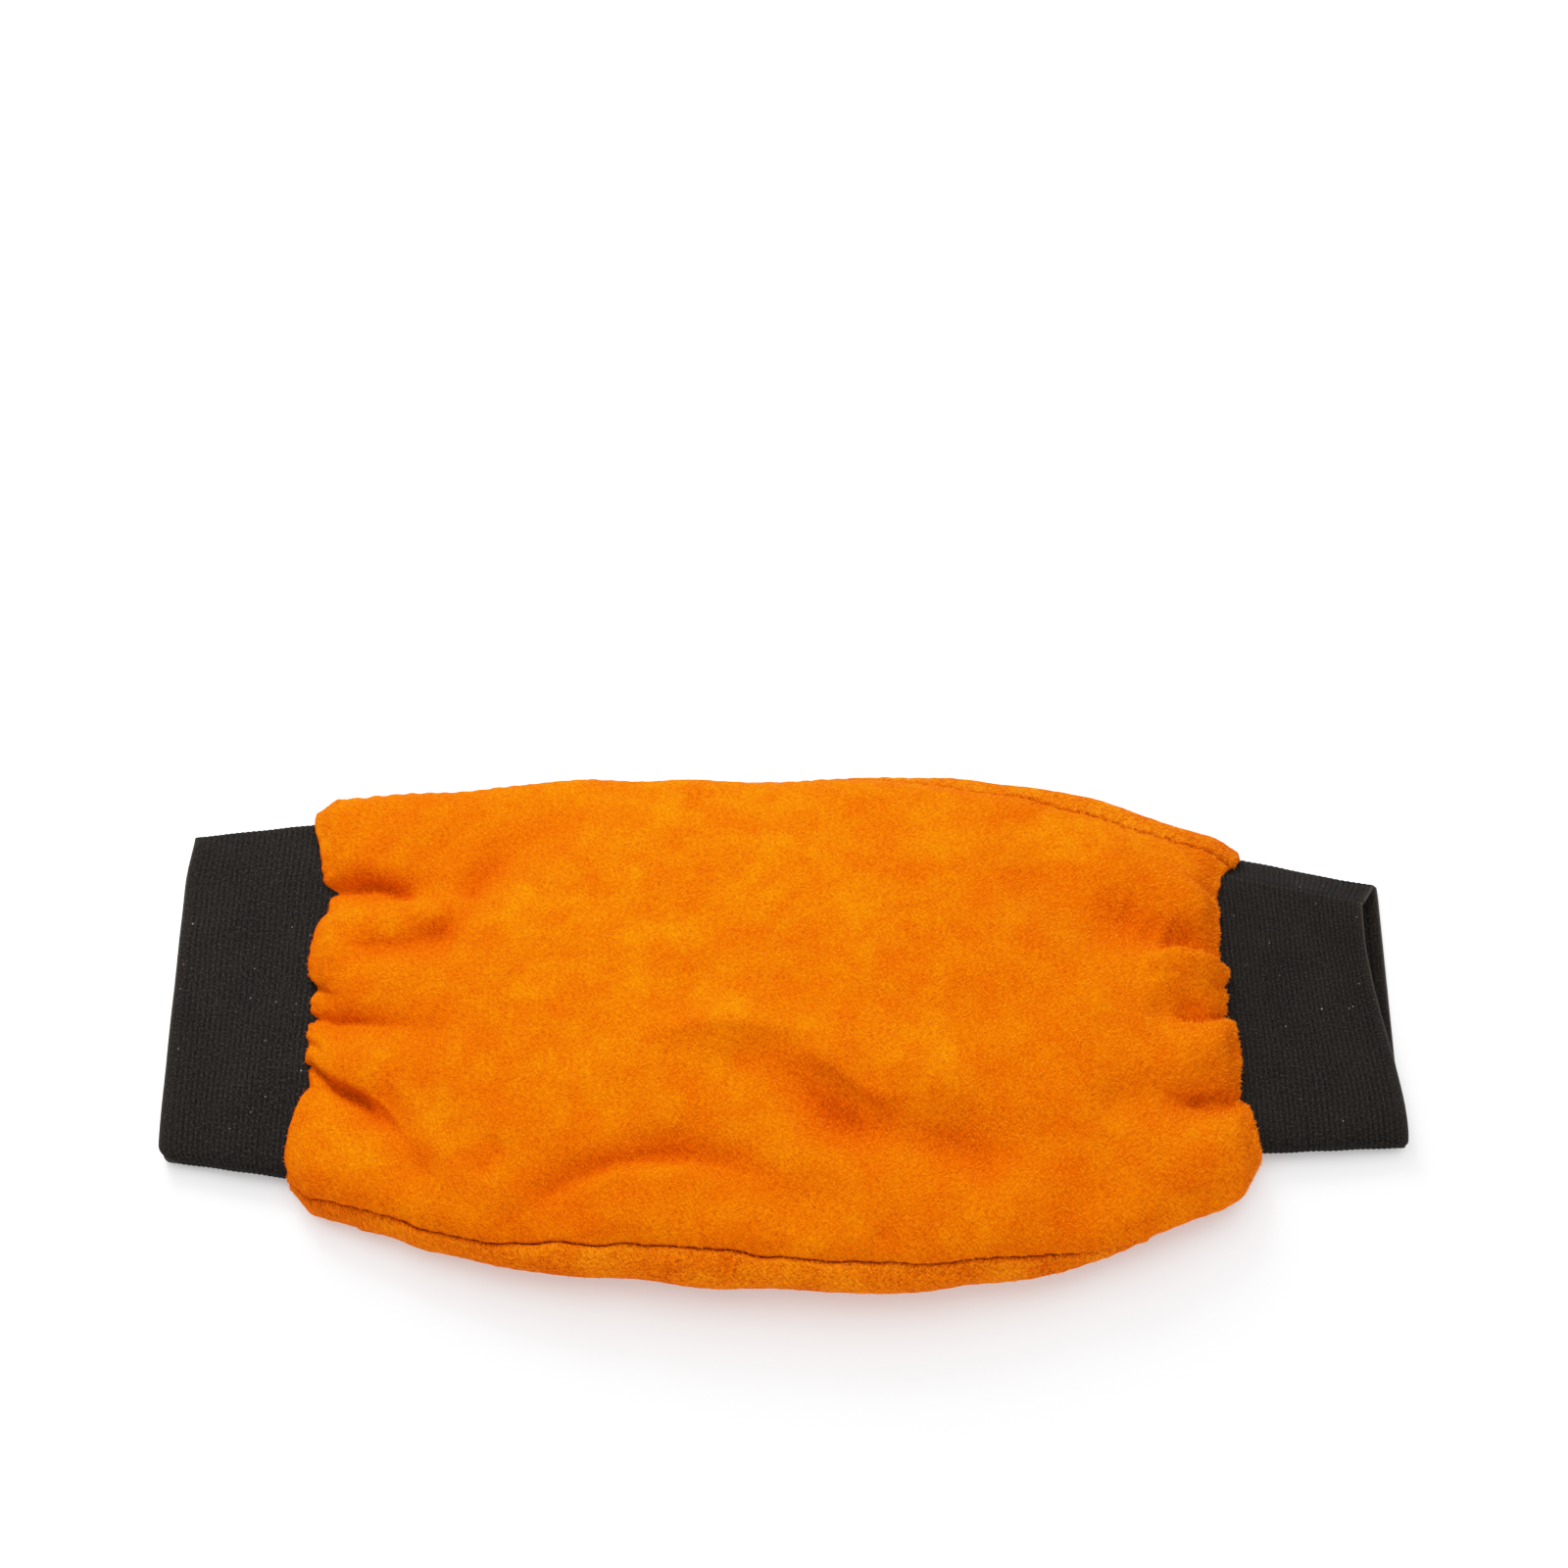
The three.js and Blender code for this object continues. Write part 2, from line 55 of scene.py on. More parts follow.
LEATHER_LENGTH = 331.0
BODY_WIDTH = 195.0
BODY_RISE = 47.0
BODY_FLAT = 1.2  # how deep the round section is cut off by the surface that it lies on
BODY_SQUARENESS = 2.4  # exponent of the section: 2 is an ellipse, and more is squarer

PUFF_RISE = 6.5  # the highest puff beside a gathered edge
PUFF_ONSET = 9.0  # distance from the edge at which a puff is full
PUFF_FADE = 44.0
HEM_PUFF = 2.5  # what is left of a puff at the edge itself
HEM_WANDER = 8.0  # how far a gathered edge strays along the arm
HEM_WANDER_FADE = 30.0
FOLD_DEPTH = 7.0
FOLD_WIDTH = 14.0
SEAM_DIP = 1.6  # depth of the dip along a side seam
SEAM_DIP_WIDTH = 4.5

CUFF_TUCK = 8.0  # length of a cuff inside the leather
JOINT_LIFT = 3.0  # height of a cuff's underside where it enters the leather
CUFF_SQUARENESS = 4.0

# Sizes of the finer details

CREASE_DEPTH = 3.0  # the deepest crease
CREASE_WIDTH = 2.2  # half its width
WAVE_DEPTH = 0.5  # slow unevenness of the hide
WRINKLE_DEPTH = 0.1  # small unevenness of the hide
EDGE_ROLL = 1.7  # radius with which the leather turns inwards at a seam or a gathered edge
SEAM_TURN = 3.0  # how far the turned edge reaches inside a seam
SEAM_WANDER = 0.45  # how far a seam strays from its smooth line
STITCH = 6.0  # from one pucker along a seam to the next
PUCKER_DEPTH = 0.7  # small scallops along a gathered edge
PUCKER_PITCH = 8.0  # length of one scallop
PUCKER_FADE = 5.0  # distance from the edge at which they have died away
RIB_PITCH = 2.0
RIB_DEPTH = 0.22
SELVEDGE = 1.6  # plain band along a cuff's mouth
ELASTIC_ROLL = 0.45  # radius of a cuff's mouth edge
CUFF_UNEVEN = 0.18  # slow unevenness of the elastic
CUFF_SPREAD = 140.0  # length around a cuff that one unit of around stands for
RIB_WANDER = 0.25  # how far a rib strays along the cuff
CREASE_BLUNTNESS = 0.35  # roundness of a crease's bottom, as a share of its width
FIBRE_WIDTH = 0.11
FIBRE_LENGTHS = (0.6, 1.7)
FIBRE_ROOT = 0.1  # how deep a fibre starts below the surface
FIBRE_TURN = 1.2  # how far a fibre may turn away from the arm's direction, in radians
FIBRE_RISES = (0.25, 0.8)  # slope of a fibre's lower half
TIP_REACH = 0.9  # how far its tip reaches along the surface, as a share of its length
TIP_RISES = (0.3, 1.1)  # how much steeper or flatter its upper half is
TURN_CLEARANCE = 0.1  # from a gathered edge, turned in, to the cuff under it

# Mesh sizes
FINE_BAND = 45.0  # beside each gathered edge, where the leather's rows lie close
FINE_STEP = 0.95
COARSE_STEP = 1.9
TOP_STEP = 1.35  # between the lengthwise lines of the top panel
UNDER_STEP = 2.2
ROWS_PER_RIB = 7
CUFF_COLUMNS = 170
CROWDING = 0.75  # how much closer a cuff's columns lie at its near and far edge
HALF_STEPS = 1200  # steps that a section is cut into on each side
OUTLINE_STEPS = 6  # steps of a section over which its direction is taken, to each side
PROBE = 0.004  # share of the surface over which its direction is taken
OPEN_LINES = 6  # mesh lines along each edge that are left out of a panel's open face
EDGE_ROWS = (2, 9)  # mesh lines between which the gathered edges have denser fibres
EDGE_COLUMNS = (2, 8)  # the same along the side seams

# How much painted shade the broad folds, the creases and the turned edges put into the suede's colour
FOLD_SHADE = 0.4
CREASE_SHADE = 0.35
EDGE_SHADE = 0.25

# Slow unevenness, as sums of waves: seed, number of waves, shortest and longest wave
HIDE_WAVES = (3, 18, 22.0, 60.0)
WRINKLE_WAVES = (4, 40, 4.0, 12.0)
RIB_WAVES = (9, 12, 20.0, 60.0)
ELASTIC_WAVES = (10, 16, 14.0, 45.0)
LOBE_LENGTH_WAVES = (6, 20.0, 50.0)
LOBE_HEIGHT_WAVES = (6, 15.0, 40.0)
SEAM_WAVES = (10, 12.0, 50.0)

# A camera's response between black and white, as light and the brightness shown for it: close to
# linear in the dark, rounding off towards white.
BRIGHTEST = 1.9
RESPONSE = [(0.3, 0.295), (0.6, 0.56), (0.9, 0.76), (1.2, 0.875), (1.5, 0.95)]

# Tables. Each length is a share of a size above, and the columns run smoothly in between.

BODY = {
    "at": [0.0, 0.03, 0.07, 0.14, 0.24, 0.36, 0.5, 0.62, 0.74, 0.84, 0.92, 0.97, 1.0],
    "near": [0.0, 0.19, 0.32, 0.54, 0.76, 0.85, 0.93, 0.96, 0.87, 0.71, 0.46, 0.27, 0.0],
    "far": [0.0, 0.42, 0.65, 0.88, 1.16, 1.16, 1.1, 1.14, 1.04, 0.8, 0.4, 0.17, 0.0],
    "rise": [0.0, 0.18, 0.36, 0.58, 0.8, 0.94, 1.0, 1.0, 0.92, 0.78, 0.56, 0.3, 0.0],
}

SEAMS = {
    "at": [0.0, 0.09, 0.19, 0.33, 0.5, 0.64, 0.75, 0.85, 0.94, 1.0],
    "near": [0.01, 0.03, 0.035, 0.065, 0.062, 0.055, 0.042, 0.005, -0.04, -0.05],
    "far": [0.985, 0.985, 0.985, 0.985, 0.975, 0.955, 0.93, 0.915, 0.925, 0.955],
}

UPPER_PUFFS = {
    "around": [
        0.02, 0.1, 0.18, 0.25, 0.33, 0.43, 0.5, 0.59, 0.66, 0.73,
        0.8, 0.89, 0.97, 1.1, 1.24, 1.38, 1.52, 1.66, 1.8, 1.92,
    ],
    "puff": [
        0.5, 0.85, 0.7, 0.1, 0.45, 0.1, 0.3, 0.85, 0.6, 0.0,
        0.45, 0.75, 0.8, 0.6, 0.05, 0.7, 0.05, 0.7, 0.05, 0.5,
    ],
}

WRIST_PUFFS = {
    "around": [
        0.02, 0.08, 0.14, 0.22, 0.3, 0.38, 0.46, 0.53, 0.6, 0.66,
        0.77, 0.87, 0.93, 0.98, 1.03, 1.12, 1.28, 1.45, 1.62, 1.78, 1.9,
    ],
    "puff": [
        0.3, 0.7, 0.8, 0.1, 0.5, 0.7, 0.15, 0.2, 0.65, 0.1,
        0.75, 0.4, 0.45, 0.3, 0.35, 0.6, 0.05, 0.75, 0.05, 0.75, 0.1,
    ],
}

UPPER_EDGE = {
    "around": [
        0.015, 0.051, 0.118, 0.18, 0.243, 0.292, 0.332, 0.375, 0.43, 0.449, 0.494, 0.522,
        0.582, 0.665, 0.704, 0.749, 0.789, 0.882, 0.965, 1.1, 1.24, 1.38, 1.52, 1.66, 1.8, 1.95,
    ],
    "edge": [
        0.16, 0.28, 0.25, 0.03, -0.37, -0.09, -0.19, -0.11, -0.12, -0.06, -0.22, 0.06,
        0.14, -0.03, -0.42, -0.36, -0.09, 0.24, 0.66, 0.2, -0.1, 0.15, -0.1, 0.15, -0.05, 0.3,
    ],
}

WRIST_EDGE = {
    "around": [
        0.016, 0.05, 0.139, 0.213, 0.284, 0.377, 0.433, 0.52, 0.602, 0.662, 0.781, 0.877,
        0.93, 0.98, 1.03, 1.12, 1.28, 1.45, 1.62, 1.78, 1.9,
    ],
    "edge": [
        0.54, 0.41, 0.09, -0.19, -0.04, -0.1, -0.28, -0.39, -0.14, -0.33, -0.4, -0.26,
        0.1, 0.85, 1.05, 0.5, 0.2, 0.4, 0.2, 0.45, 0.5,
    ],
}

# Broad dents and ridges, each from one point to another. The depth is a share of FOLD_DEPTH, below
# 0 for a ridge, and the width a share of FOLD_WIDTH.
FOLDS = [
    # at, around, to at, to around, depth, width
    (0.02, 0.755, 0.13, 0.725, 0.5, 0.5),
    (0.13, 0.725, 0.17, 0.69, 0.5, 0.5),
    (0.17, 0.69, 0.14, 0.63, 0.4, 0.5),
    (0.14, 0.63, 0.07, 0.61, 0.3, 0.55),
    (0.18, 0.74, 0.26, 0.85, 0.5, 0.8),
    (0.02, 0.43, 0.14, 0.44, 0.4, 0.5),
    (0.02, 0.3, 0.09, 0.265, 0.5, 0.5),
    (0.09, 0.265, 0.135, 0.15, 0.6, 0.55),
    (0.25, 0.08, 0.33, 0.18, 0.5, 0.7),
    (0.33, 0.18, 0.4, 0.22, 0.5, 0.7),
    (0.4, 0.21, 0.53, 0.16, 0.4, 0.8),
    (0.35, 0.415, 0.43, 0.45, -0.3, 0.8),
    (0.43, 0.45, 0.6, 0.41, -0.4, 0.8),
    (0.49, 0.4, 0.57, 0.31, 0.5, 0.8),
    (0.57, 0.31, 0.64, 0.27, 0.7, 0.9),
    (0.64, 0.27, 0.71, 0.21, 0.5, 0.9),
    (0.61, 0.4, 0.66, 0.36, -0.4, 0.7),
    (0.99, 0.655, 0.87, 0.625, 0.5, 0.5),
    (0.87, 0.64, 0.79, 0.74, 0.6, 0.9),
    (0.99, 0.455, 0.92, 0.465, 0.4, 0.5),
    (0.98, 0.24, 0.86, 0.295, 0.5, 0.6),
    (0.75, 0.25, 0.82, 0.13, 0.5, 1.0),
]

# Sharp creases and crests, each along a line of (at, around) points. The depth is a share of
# CREASE_DEPTH, below 0 for a crest; near and far are half the width towards either side, as shares
# of CREASE_WIDTH; the depth is full between the shares of the line that start and stop give.
CREASES = [
    # depth, near, far, start, stop, line
    (1.4, 0.6, 1.6, 0.0, 0.55, [(0.0, 0.756), (0.052, 0.756), (0.09, 0.735), (0.12, 0.71)]),
    (
        -0.6, 3.0, 1.0, 0.2, 0.8,
        [(0.01, 0.68), (0.053, 0.716), (0.1, 0.712), (0.14, 0.7), (0.155, 0.68)],
    ),
    (
        1.2, 3.4, 1.2, 0.3, 0.75,
        [(0.035, 0.612), (0.065, 0.617), (0.106, 0.625), (0.143, 0.65), (0.168, 0.695)],
    ),
    (1.0, 2.0, 2.6, 0.2, 0.5, [(0.16, 0.7), (0.176, 0.75), (0.2, 0.79), (0.24, 0.825)]),
    (0.8, 3.0, 3.0, 0.3, 0.5, [(0.129, 0.86), (0.15, 0.795), (0.16, 0.76)]),
    (
        1.2, 0.6, 1.2, 0.0, 0.4,
        [(0.0, 0.415), (0.02, 0.43), (0.049, 0.442), (0.092, 0.442), (0.14, 0.45)],
    ),
    (
        1.4, 1.5, 0.6, 0.0, 0.5,
        [(0.007, 0.291), (0.033, 0.282), (0.066, 0.264), (0.099, 0.224), (0.125, 0.188)],
    ),
    (-0.7, 0.6, 2.6, 0.2, 0.7, [(0.01, 0.315), (0.05, 0.3), (0.09, 0.26), (0.125, 0.21)]),
    (0.5, 0.8, 0.8, 0.0, 0.0, [(0.0, 0.495), (0.03, 0.49)]),
    (0.5, 0.8, 0.8, 0.0, 0.0, [(0.0, 0.24), (0.03, 0.236)]),
    (0.4, 0.8, 0.8, 0.0, 0.0, [(0.0, 0.35), (0.03, 0.346)]),
    (0.8, 1.2, 2.0, 0.3, 0.6, [(0.2, 0.15), (0.216, 0.2), (0.232, 0.25)]),
    (
        1.1, 1.2, 4.0, 0.2, 0.7,
        [
            (0.24, 0.088), (0.269, 0.138), (0.3, 0.178), (0.34, 0.205), (0.38, 0.222),
            (0.41, 0.224), (0.49, 0.198), (0.53, 0.165),
        ],
    ),
    (
        -1.1, 3.2, 1.0, 0.5, 0.5,
        [(0.26, 0.09), (0.3, 0.145), (0.35, 0.185), (0.42, 0.19), (0.49, 0.165)],
    ),
    (
        -0.8, 1.4, 2.0, 0.4, 0.6,
        [
            (0.347, 0.415), (0.383, 0.441), (0.429, 0.451),
            (0.474, 0.453), (0.52, 0.444), (0.6, 0.405),
        ],
    ),
    (
        1.2, 4.2, 1.8, 0.4, 0.6,
        [(0.489, 0.4), (0.534, 0.354), (0.564, 0.315), (0.594, 0.286), (0.638, 0.272)],
    ),
    (0.9, 3.4, 2.6, 0.3, 0.6, [(0.63, 0.274), (0.687, 0.255), (0.722, 0.225), (0.775, 0.198)]),
    (-1.1, 1.2, 2.6, 0.3, 0.7, [(0.52, 0.425), (0.56, 0.385), (0.6, 0.345), (0.645, 0.31)]),
    (-0.7, 2.0, 3.0, 0.3, 0.6, [(0.61, 0.403), (0.655, 0.372), (0.69, 0.33), (0.74, 0.29)]),
    (
        1.4, 0.8, 3.0, 0.0, 0.6,
        [(1.0, 0.613), (0.984, 0.618), (0.951, 0.619), (0.923, 0.618), (0.9, 0.6)],
    ),
    (
        -0.9, 2.6, 0.5, 0.4, 0.7,
        [(0.99, 0.59), (0.96, 0.598), (0.925, 0.596), (0.9, 0.575), (0.888, 0.55)],
    ),
    (1.1, 4.0, 4.0, 0.3, 0.5, [(0.95, 0.655), (0.9, 0.672), (0.876, 0.68), (0.84, 0.72)]),
    (1.2, 0.6, 1.4, 0.0, 0.5, [(1.0, 0.438), (0.956, 0.441), (0.921, 0.459)]),
    (1.2, 1.4, 0.6, 0.0, 0.5, [(1.0, 0.185), (0.97, 0.236), (0.941, 0.247), (0.893, 0.287)]),
    (0.5, 1.0, 1.0, 0.0, 0.2, [(1.0, 0.53), (0.965, 0.525)]),
    (0.5, 1.0, 1.0, 0.0, 0.2, [(1.0, 0.33), (0.965, 0.335)]),
    (0.6, 1.2, 1.2, 0.0, 0.3, [(1.0, 0.83), (0.97, 0.82), (0.94, 0.81)]),
    (0.5, 0.8, 1.6, 0.3, 0.6, [(0.6, 0.115), (0.621, 0.095), (0.645, 0.056)]),
]

# The cuffs. The mouth is as far out as shown, and skew further at the far side than at the near;
# its upper layer is recessed between two shares of the way to the far side, the near corner is
# rounded, and the far side has a sharp crease. Each section may slant at its far side.
UPPER_CUFF = {
    "side": -1,
    "shown": 50.0,
    "skew": 4.0,
    "recess": 1.5,
    "recess_from": 0.82,
    "recess_to": 1.0,
    "corner": 4.5,
    "crease": 5.0,
    "mouth": {"width": 127.5, "shift": 20.5, "lift": 0.0, "thickness": 12.0},
    "joint": {"width": 139.5, "shift": 19.0, "lift": JOINT_LIFT, "thickness": 12.0},
}

WRIST_CUFF = {
    "side": 1,
    "shown": 58.0,
    "skew": 3.7,
    "recess": 9.0,
    "recess_from": 0.0,
    "recess_to": 0.75,
    "corner": 0.5,
    "crease": 20.0,
    "mouth": {"width": 106.5, "shift": 15.3, "lift": 0.0, "thickness": 12.5, "slant": 14.5},
    "joint": {"width": 122.0, "shift": 19.5, "lift": JOINT_LIFT, "thickness": 12.5, "slant": 16.0},
}


def mix(a, b, share):
    return a + (b - a) * share


def bell(distance, width):
    return np.exp(-((distance / width) ** 2))


def ease(share):
    share = np.clip(share, 0.0, 1.0)
    return share * share * (3 - 2 * share)


def signed_power(value, power):
    return np.sign(value) * np.abs(value) ** power


def follow(table, key, column, place, period=0.0):
    """One column of a table at places between its rows, along a smooth curve."""
    keys = np.array(table[key])
    values = np.array(table[column])
    if period:
        keys = np.concatenate([keys[-2:] - period, keys, keys[:3] + period])
        values = np.concatenate([values[-2:], values, values[:3]])
        place = keys[2] + (place - keys[2]) % period
    before = np.concatenate([[0], np.arange(len(keys) - 1)])
    after = np.concatenate([np.arange(1, len(keys)), [len(keys) - 1]])
    slope = (values[after] - values[before]) / (keys[after] - keys[before])
    i = np.clip(np.searchsorted(keys, place, side="right") - 1, 0, len(keys) - 2)
    span = keys[i + 1] - keys[i]
    t = np.clip((place - keys[i]) / span, 0.0, 1.0)
    bend = t * (1 - t) * span * ((1 - t) * slope[i] - t * slope[i + 1])
    return mix(values[i], values[i + 1], ease(t)) + bend


def even_steps(y, z):
    """Cuts a line into even steps of its own length."""
    reach = np.concatenate([[0.0], np.cumsum(np.hypot(np.diff(y), np.diff(z)))])
    wanted = np.linspace(0.0, reach[-1], HALF_STEPS + 1)
    return np.stack([np.interp(wanted, reach, y), np.interp(wanted, reach, z)], axis=1)


def section(width, shift, lift, thickness, squareness, far_squareness, slant=0.0):
    """A closed section, from the near edge over the top to the far edge and back underneath."""
    halves = []
    for start, end in ((0.0, math.pi), (math.pi, 2 * math.pi)):
        angle = np.linspace(start, end, HALF_STEPS * 4 + 1)
        power = 2 / np.where(np.cos(angle) < 0, far_squareness, squareness)
        across = -signed_power(np.cos(angle), power)
        up = 0.5 + 0.5 * signed_power(np.sin(angle), power)
        y = shift + width / 2 * across - slant * up * ease(across)
        halves.append(even_steps(y, lift + thickness * up)[:-1])
    return np.concatenate(halves)


def outset(loop, distance):
    """The section with its outline moved outwards by the same distance everywhere."""
    run = np.roll(loop, -OUTLINE_STEPS, axis=0) - np.roll(loop, OUTLINE_STEPS, axis=0)
    run /= np.linalg.norm(run, axis=1)[:, None]
    return loop + distance * np.stack([-run[:, 1], run[:, 0]], axis=1)


def point_at(loop, around):
    """The point of a section at a place around it: 0 to 1 over the top, 1 to 2 underneath."""
    place = (around / 2) % 1.0 * len(loop)
    ring = np.concatenate([loop, loop[:1]])
    steps = np.arange(len(ring))
    return np.interp(place, steps, ring[:, 0]), np.interp(place, steps, ring[:, 1])


def loop_length(loop):
    return np.linalg.norm(np.roll(loop, -1, axis=0) - loop, axis=1).sum()


BODY_LOOP = section(
    BODY_WIDTH, 0.0, -BODY_FLAT, BODY_RISE + BODY_FLAT, BODY_SQUARENESS, BODY_SQUARENESS
)
for cuff in (UPPER_CUFF, WRIST_CUFF):
    creased = (CUFF_SQUARENESS, cuff["crease"])
    even = (CUFF_SQUARENESS, CUFF_SQUARENESS)
    for loop, sizes, (near, far) in (
        ("mouth_loop", cuff["mouth"], creased),
        ("joint_loop", cuff["joint"], creased),
        ("even_loop", cuff["joint"], even),
    ):
        cuff[loop] = section(squareness=near, far_squareness=far, **sizes)
    cuff["hem_loop"] = outset(cuff["even_loop"], CUFF_CLEARANCE + LEATHER_WALL)
UPPER_HALF = loop_length(UPPER_CUFF["hem_loop"]) / 2
WRIST_HALF = loop_length(WRIST_CUFF["hem_loop"]) / 2
BODY_HALF = loop_length(BODY_LOOP) / 2


def over_top(at):
    """Length along the outline from the near edge over the top to the far edge."""
    fullness = np.clip(follow(BODY, "at", "near", at), 0.0, 1.0)
    return mix(mix(UPPER_HALF, WRIST_HALF, at), BODY_HALF, fullness)


def puff_out(puffs, distance, around):
    """How far the puffs beside one gathered edge stand out."""
    puff = np.maximum(0.0, follow(puffs, "around", "puff", around, 2.0))
    onset = mix(HEM_PUFF / PUFF_RISE, 1.0, ease(distance / PUFF_ONSET))
    return PUFF_RISE * puff * onset * bell(distance, PUFF_FADE)


def off_line(at, around, line):
    """Distance to a line of (at, around) points, above 0 on the far side of it, and the share of
    the line passed there."""
    reach = over_top(at)
    nearest = np.full(at.shape, 1e9)
    signed = np.zeros(at.shape)
    passed = np.zeros(at.shape)
    for k, (start, end) in enumerate(zip(line[:-1], line[1:])):
        run_x = (end[0] - start[0]) * LEATHER_LENGTH
        run_y = (end[1] - start[1]) * reach
        off_x = (at - start[0]) * LEATHER_LENGTH
        off_y = (around - start[1]) * reach
        share = np.clip((off_x * run_x + off_y * run_y) / (run_x**2 + run_y**2), 0.0, 1.0)
        distance = np.hypot(off_x - share * run_x, off_y - share * run_y)
        side = np.sign(run_x * off_y - run_y * off_x) * np.sign(line[-1][0] - line[0][0])
        closer = distance < nearest
        nearest = np.where(closer, distance, nearest)
        signed = np.where(closer, side * distance, signed)
        passed = np.where(closer, (k + share) / (len(line) - 1), passed)
    return signed, passed


def folds_in(at, around):
    """Share of FOLD_DEPTH by which the broad folds press in."""
    dent = np.zeros(at.shape)
    ridge = np.zeros(at.shape)
    for at0, around0, at1, around1, depth, width in FOLDS:
        distance, _ = off_line(at, around, [(at0, around0), (at1, around1)])
        pressed = depth * bell(distance, width * FOLD_WIDTH)
        dent = np.maximum(dent, pressed)
        ridge = np.minimum(ridge, pressed)
    return dent + ridge


def creases_in(at, around):
    """Share of CREASE_DEPTH by which the sharp creases press in, less the crests between them."""
    dent = np.zeros(at.shape)
    crest = np.zeros(at.shape)
    for depth, near, far, start, stop, line in CREASES:
        distance, passed = off_line(at, around, line)
        width = np.where(distance > 0, far, near) * CREASE_WIDTH
        blunt = np.hypot(distance / width, CREASE_BLUNTNESS) - CREASE_BLUNTNESS
        begun = ease(passed / start) if start else 1.0
        ended = ease((passed - stop) / (1 - stop))
        pressed = depth * np.exp(-blunt) * begun * (1 - ended)
        dent = np.maximum(dent, pressed)
        crest = np.minimum(crest, pressed)
    return dent + crest


def waves(seed, count, shortest, longest, x, y):
    """Smooth unevenness, from -1 to 1 or so, as a sum of waves in random directions."""
    rng = np.random.default_rng(seed)
    total = np.zeros(x.shape)
    for _ in range(count):
        length = shortest * (longest / shortest) ** rng.random()
        turn = rng.random() * 2 * math.pi
        start = rng.random() * 2 * math.pi
        along = x * math.cos(turn) + y * math.sin(turn)
        total += np.sin(2 * math.pi * along / length + start)
    return total / math.sqrt(count)


def scallops(seed, around):
    """Rounded lobes of uneven length along a gathered edge, with a sharp notch between them."""
    run = around * UPPER_HALF
    lobe = run / PUCKER_PITCH + 0.5 * waves(seed, *LOBE_LENGTH_WAVES, run, 0 * run)
    height = 0.7 + 0.5 * waves(seed + 10, *LOBE_HEIGHT_WAVES, run, 0 * run)
    return height * np.abs(np.sin(math.pi * lobe)) ** 0.8


def leather_base(at, around):
    """The leather's outside without its relief."""
    place = np.clip(at, 0.0, 1.0)
    upper_y, upper_z = point_at(UPPER_CUFF["hem_loop"], around)
    wrist_y, wrist_z = point_at(WRIST_CUFF["hem_loop"], around)
    full_y, full_z = point_at(BODY_LOOP, around)
    farness = ease(full_y / BODY_WIDTH + 0.5)
    swell = mix(follow(BODY, "at", "near", place), follow(BODY, "at", "far", place), farness)
    y = mix(mix(upper_y, wrist_y, place), full_y, swell)
    z = mix(mix(upper_z, wrist_z, place), full_z, follow(BODY, "at", "rise", place))
    from_upper = place * LEATHER_LENGTH
    from_wrist = (1 - place) * LEATHER_LENGTH
    to_upper = follow(UPPER_EDGE, "around", "edge", around, 2.0) * bell(from_upper, HEM_WANDER_FADE)
    to_wrist = follow(WRIST_EDGE, "around", "edge", around, 2.0) * bell(from_wrist, HEM_WANDER_FADE)
    x = (at - 0.5) * LEATHER_LENGTH + HEM_WANDER * (to_wrist - to_upper)
    x = x - PUCKER_DEPTH * scallops(5, around) * bell(from_upper, PUCKER_FADE)
    x = x + PUCKER_DEPTH * scallops(6, around) * bell(from_wrist, PUCKER_FADE)
    return np.stack([x, y, z], axis=-1)


def outward(surface, u, v):
    along_u = surface(u + PROBE, v) - surface(u - PROBE, v)
    along_v = surface(u, v + PROBE) - surface(u, v - PROBE)
    normal = np.cross(along_u, along_v)
    return normal / np.linalg.norm(normal, axis=-1)[..., None]


def clear_of_hem(at):
    nearest = np.minimum(at, 1 - at) * LEATHER_LENGTH
    return ease(nearest / (2 * PUFF_ONSET))


def leather_smooth(at, around):
    """The leather's outside with its puffs, broad folds and seam dips."""
    place = np.clip(at, 0.0, 1.0)
    wrapped = around % 2.0
    clear = clear_of_hem(place)
    out = puff_out(UPPER_PUFFS, place * LEATHER_LENGTH, around)
    out += puff_out(WRIST_PUFFS, (1 - place) * LEATHER_LENGTH, around)
    out -= np.where(wrapped < 1, FOLD_DEPTH * folds_in(place, wrapped) * clear, 0.0)
    for side in ("near", "far"):
        offset = wrapped - follow(SEAMS, "at", side, place)
        distance = np.minimum(np.abs(offset), np.abs(2 - offset)) * over_top(place)
        pucker = 1 + 0.2 * np.cos(2 * math.pi * place * LEATHER_LENGTH / STITCH)
        out -= SEAM_DIP * clear * bell(distance, SEAM_DIP_WIDTH) * pucker
    direction = outward(leather_base, at, around)
    direction[..., 0] *= clear
    point = leather_base(at, around) + direction * out[..., None]
    point[..., 2] = np.maximum(0.0, point[..., 2])
    return point


def fine_relief(at, around):
    """Unevenness of the hide and sharp creases, outwards."""
    place = np.clip(at, 0.0, 1.0)
    x = at * LEATHER_LENGTH
    s = around * over_top(place)
    out = WAVE_DEPTH * waves(*HIDE_WAVES, x, s) * clear_of_hem(place)
    out += WRINKLE_DEPTH * waves(*WRINKLE_WAVES, x, s)
    wrapped = around % 2.0
    return out - np.where(wrapped < 1, CREASE_DEPTH * creases_in(at, wrapped), 0.0)


def spaced(start, end, step):
    count = max(1, round((end - start) / step))
    return np.linspace(start, end, count + 1)


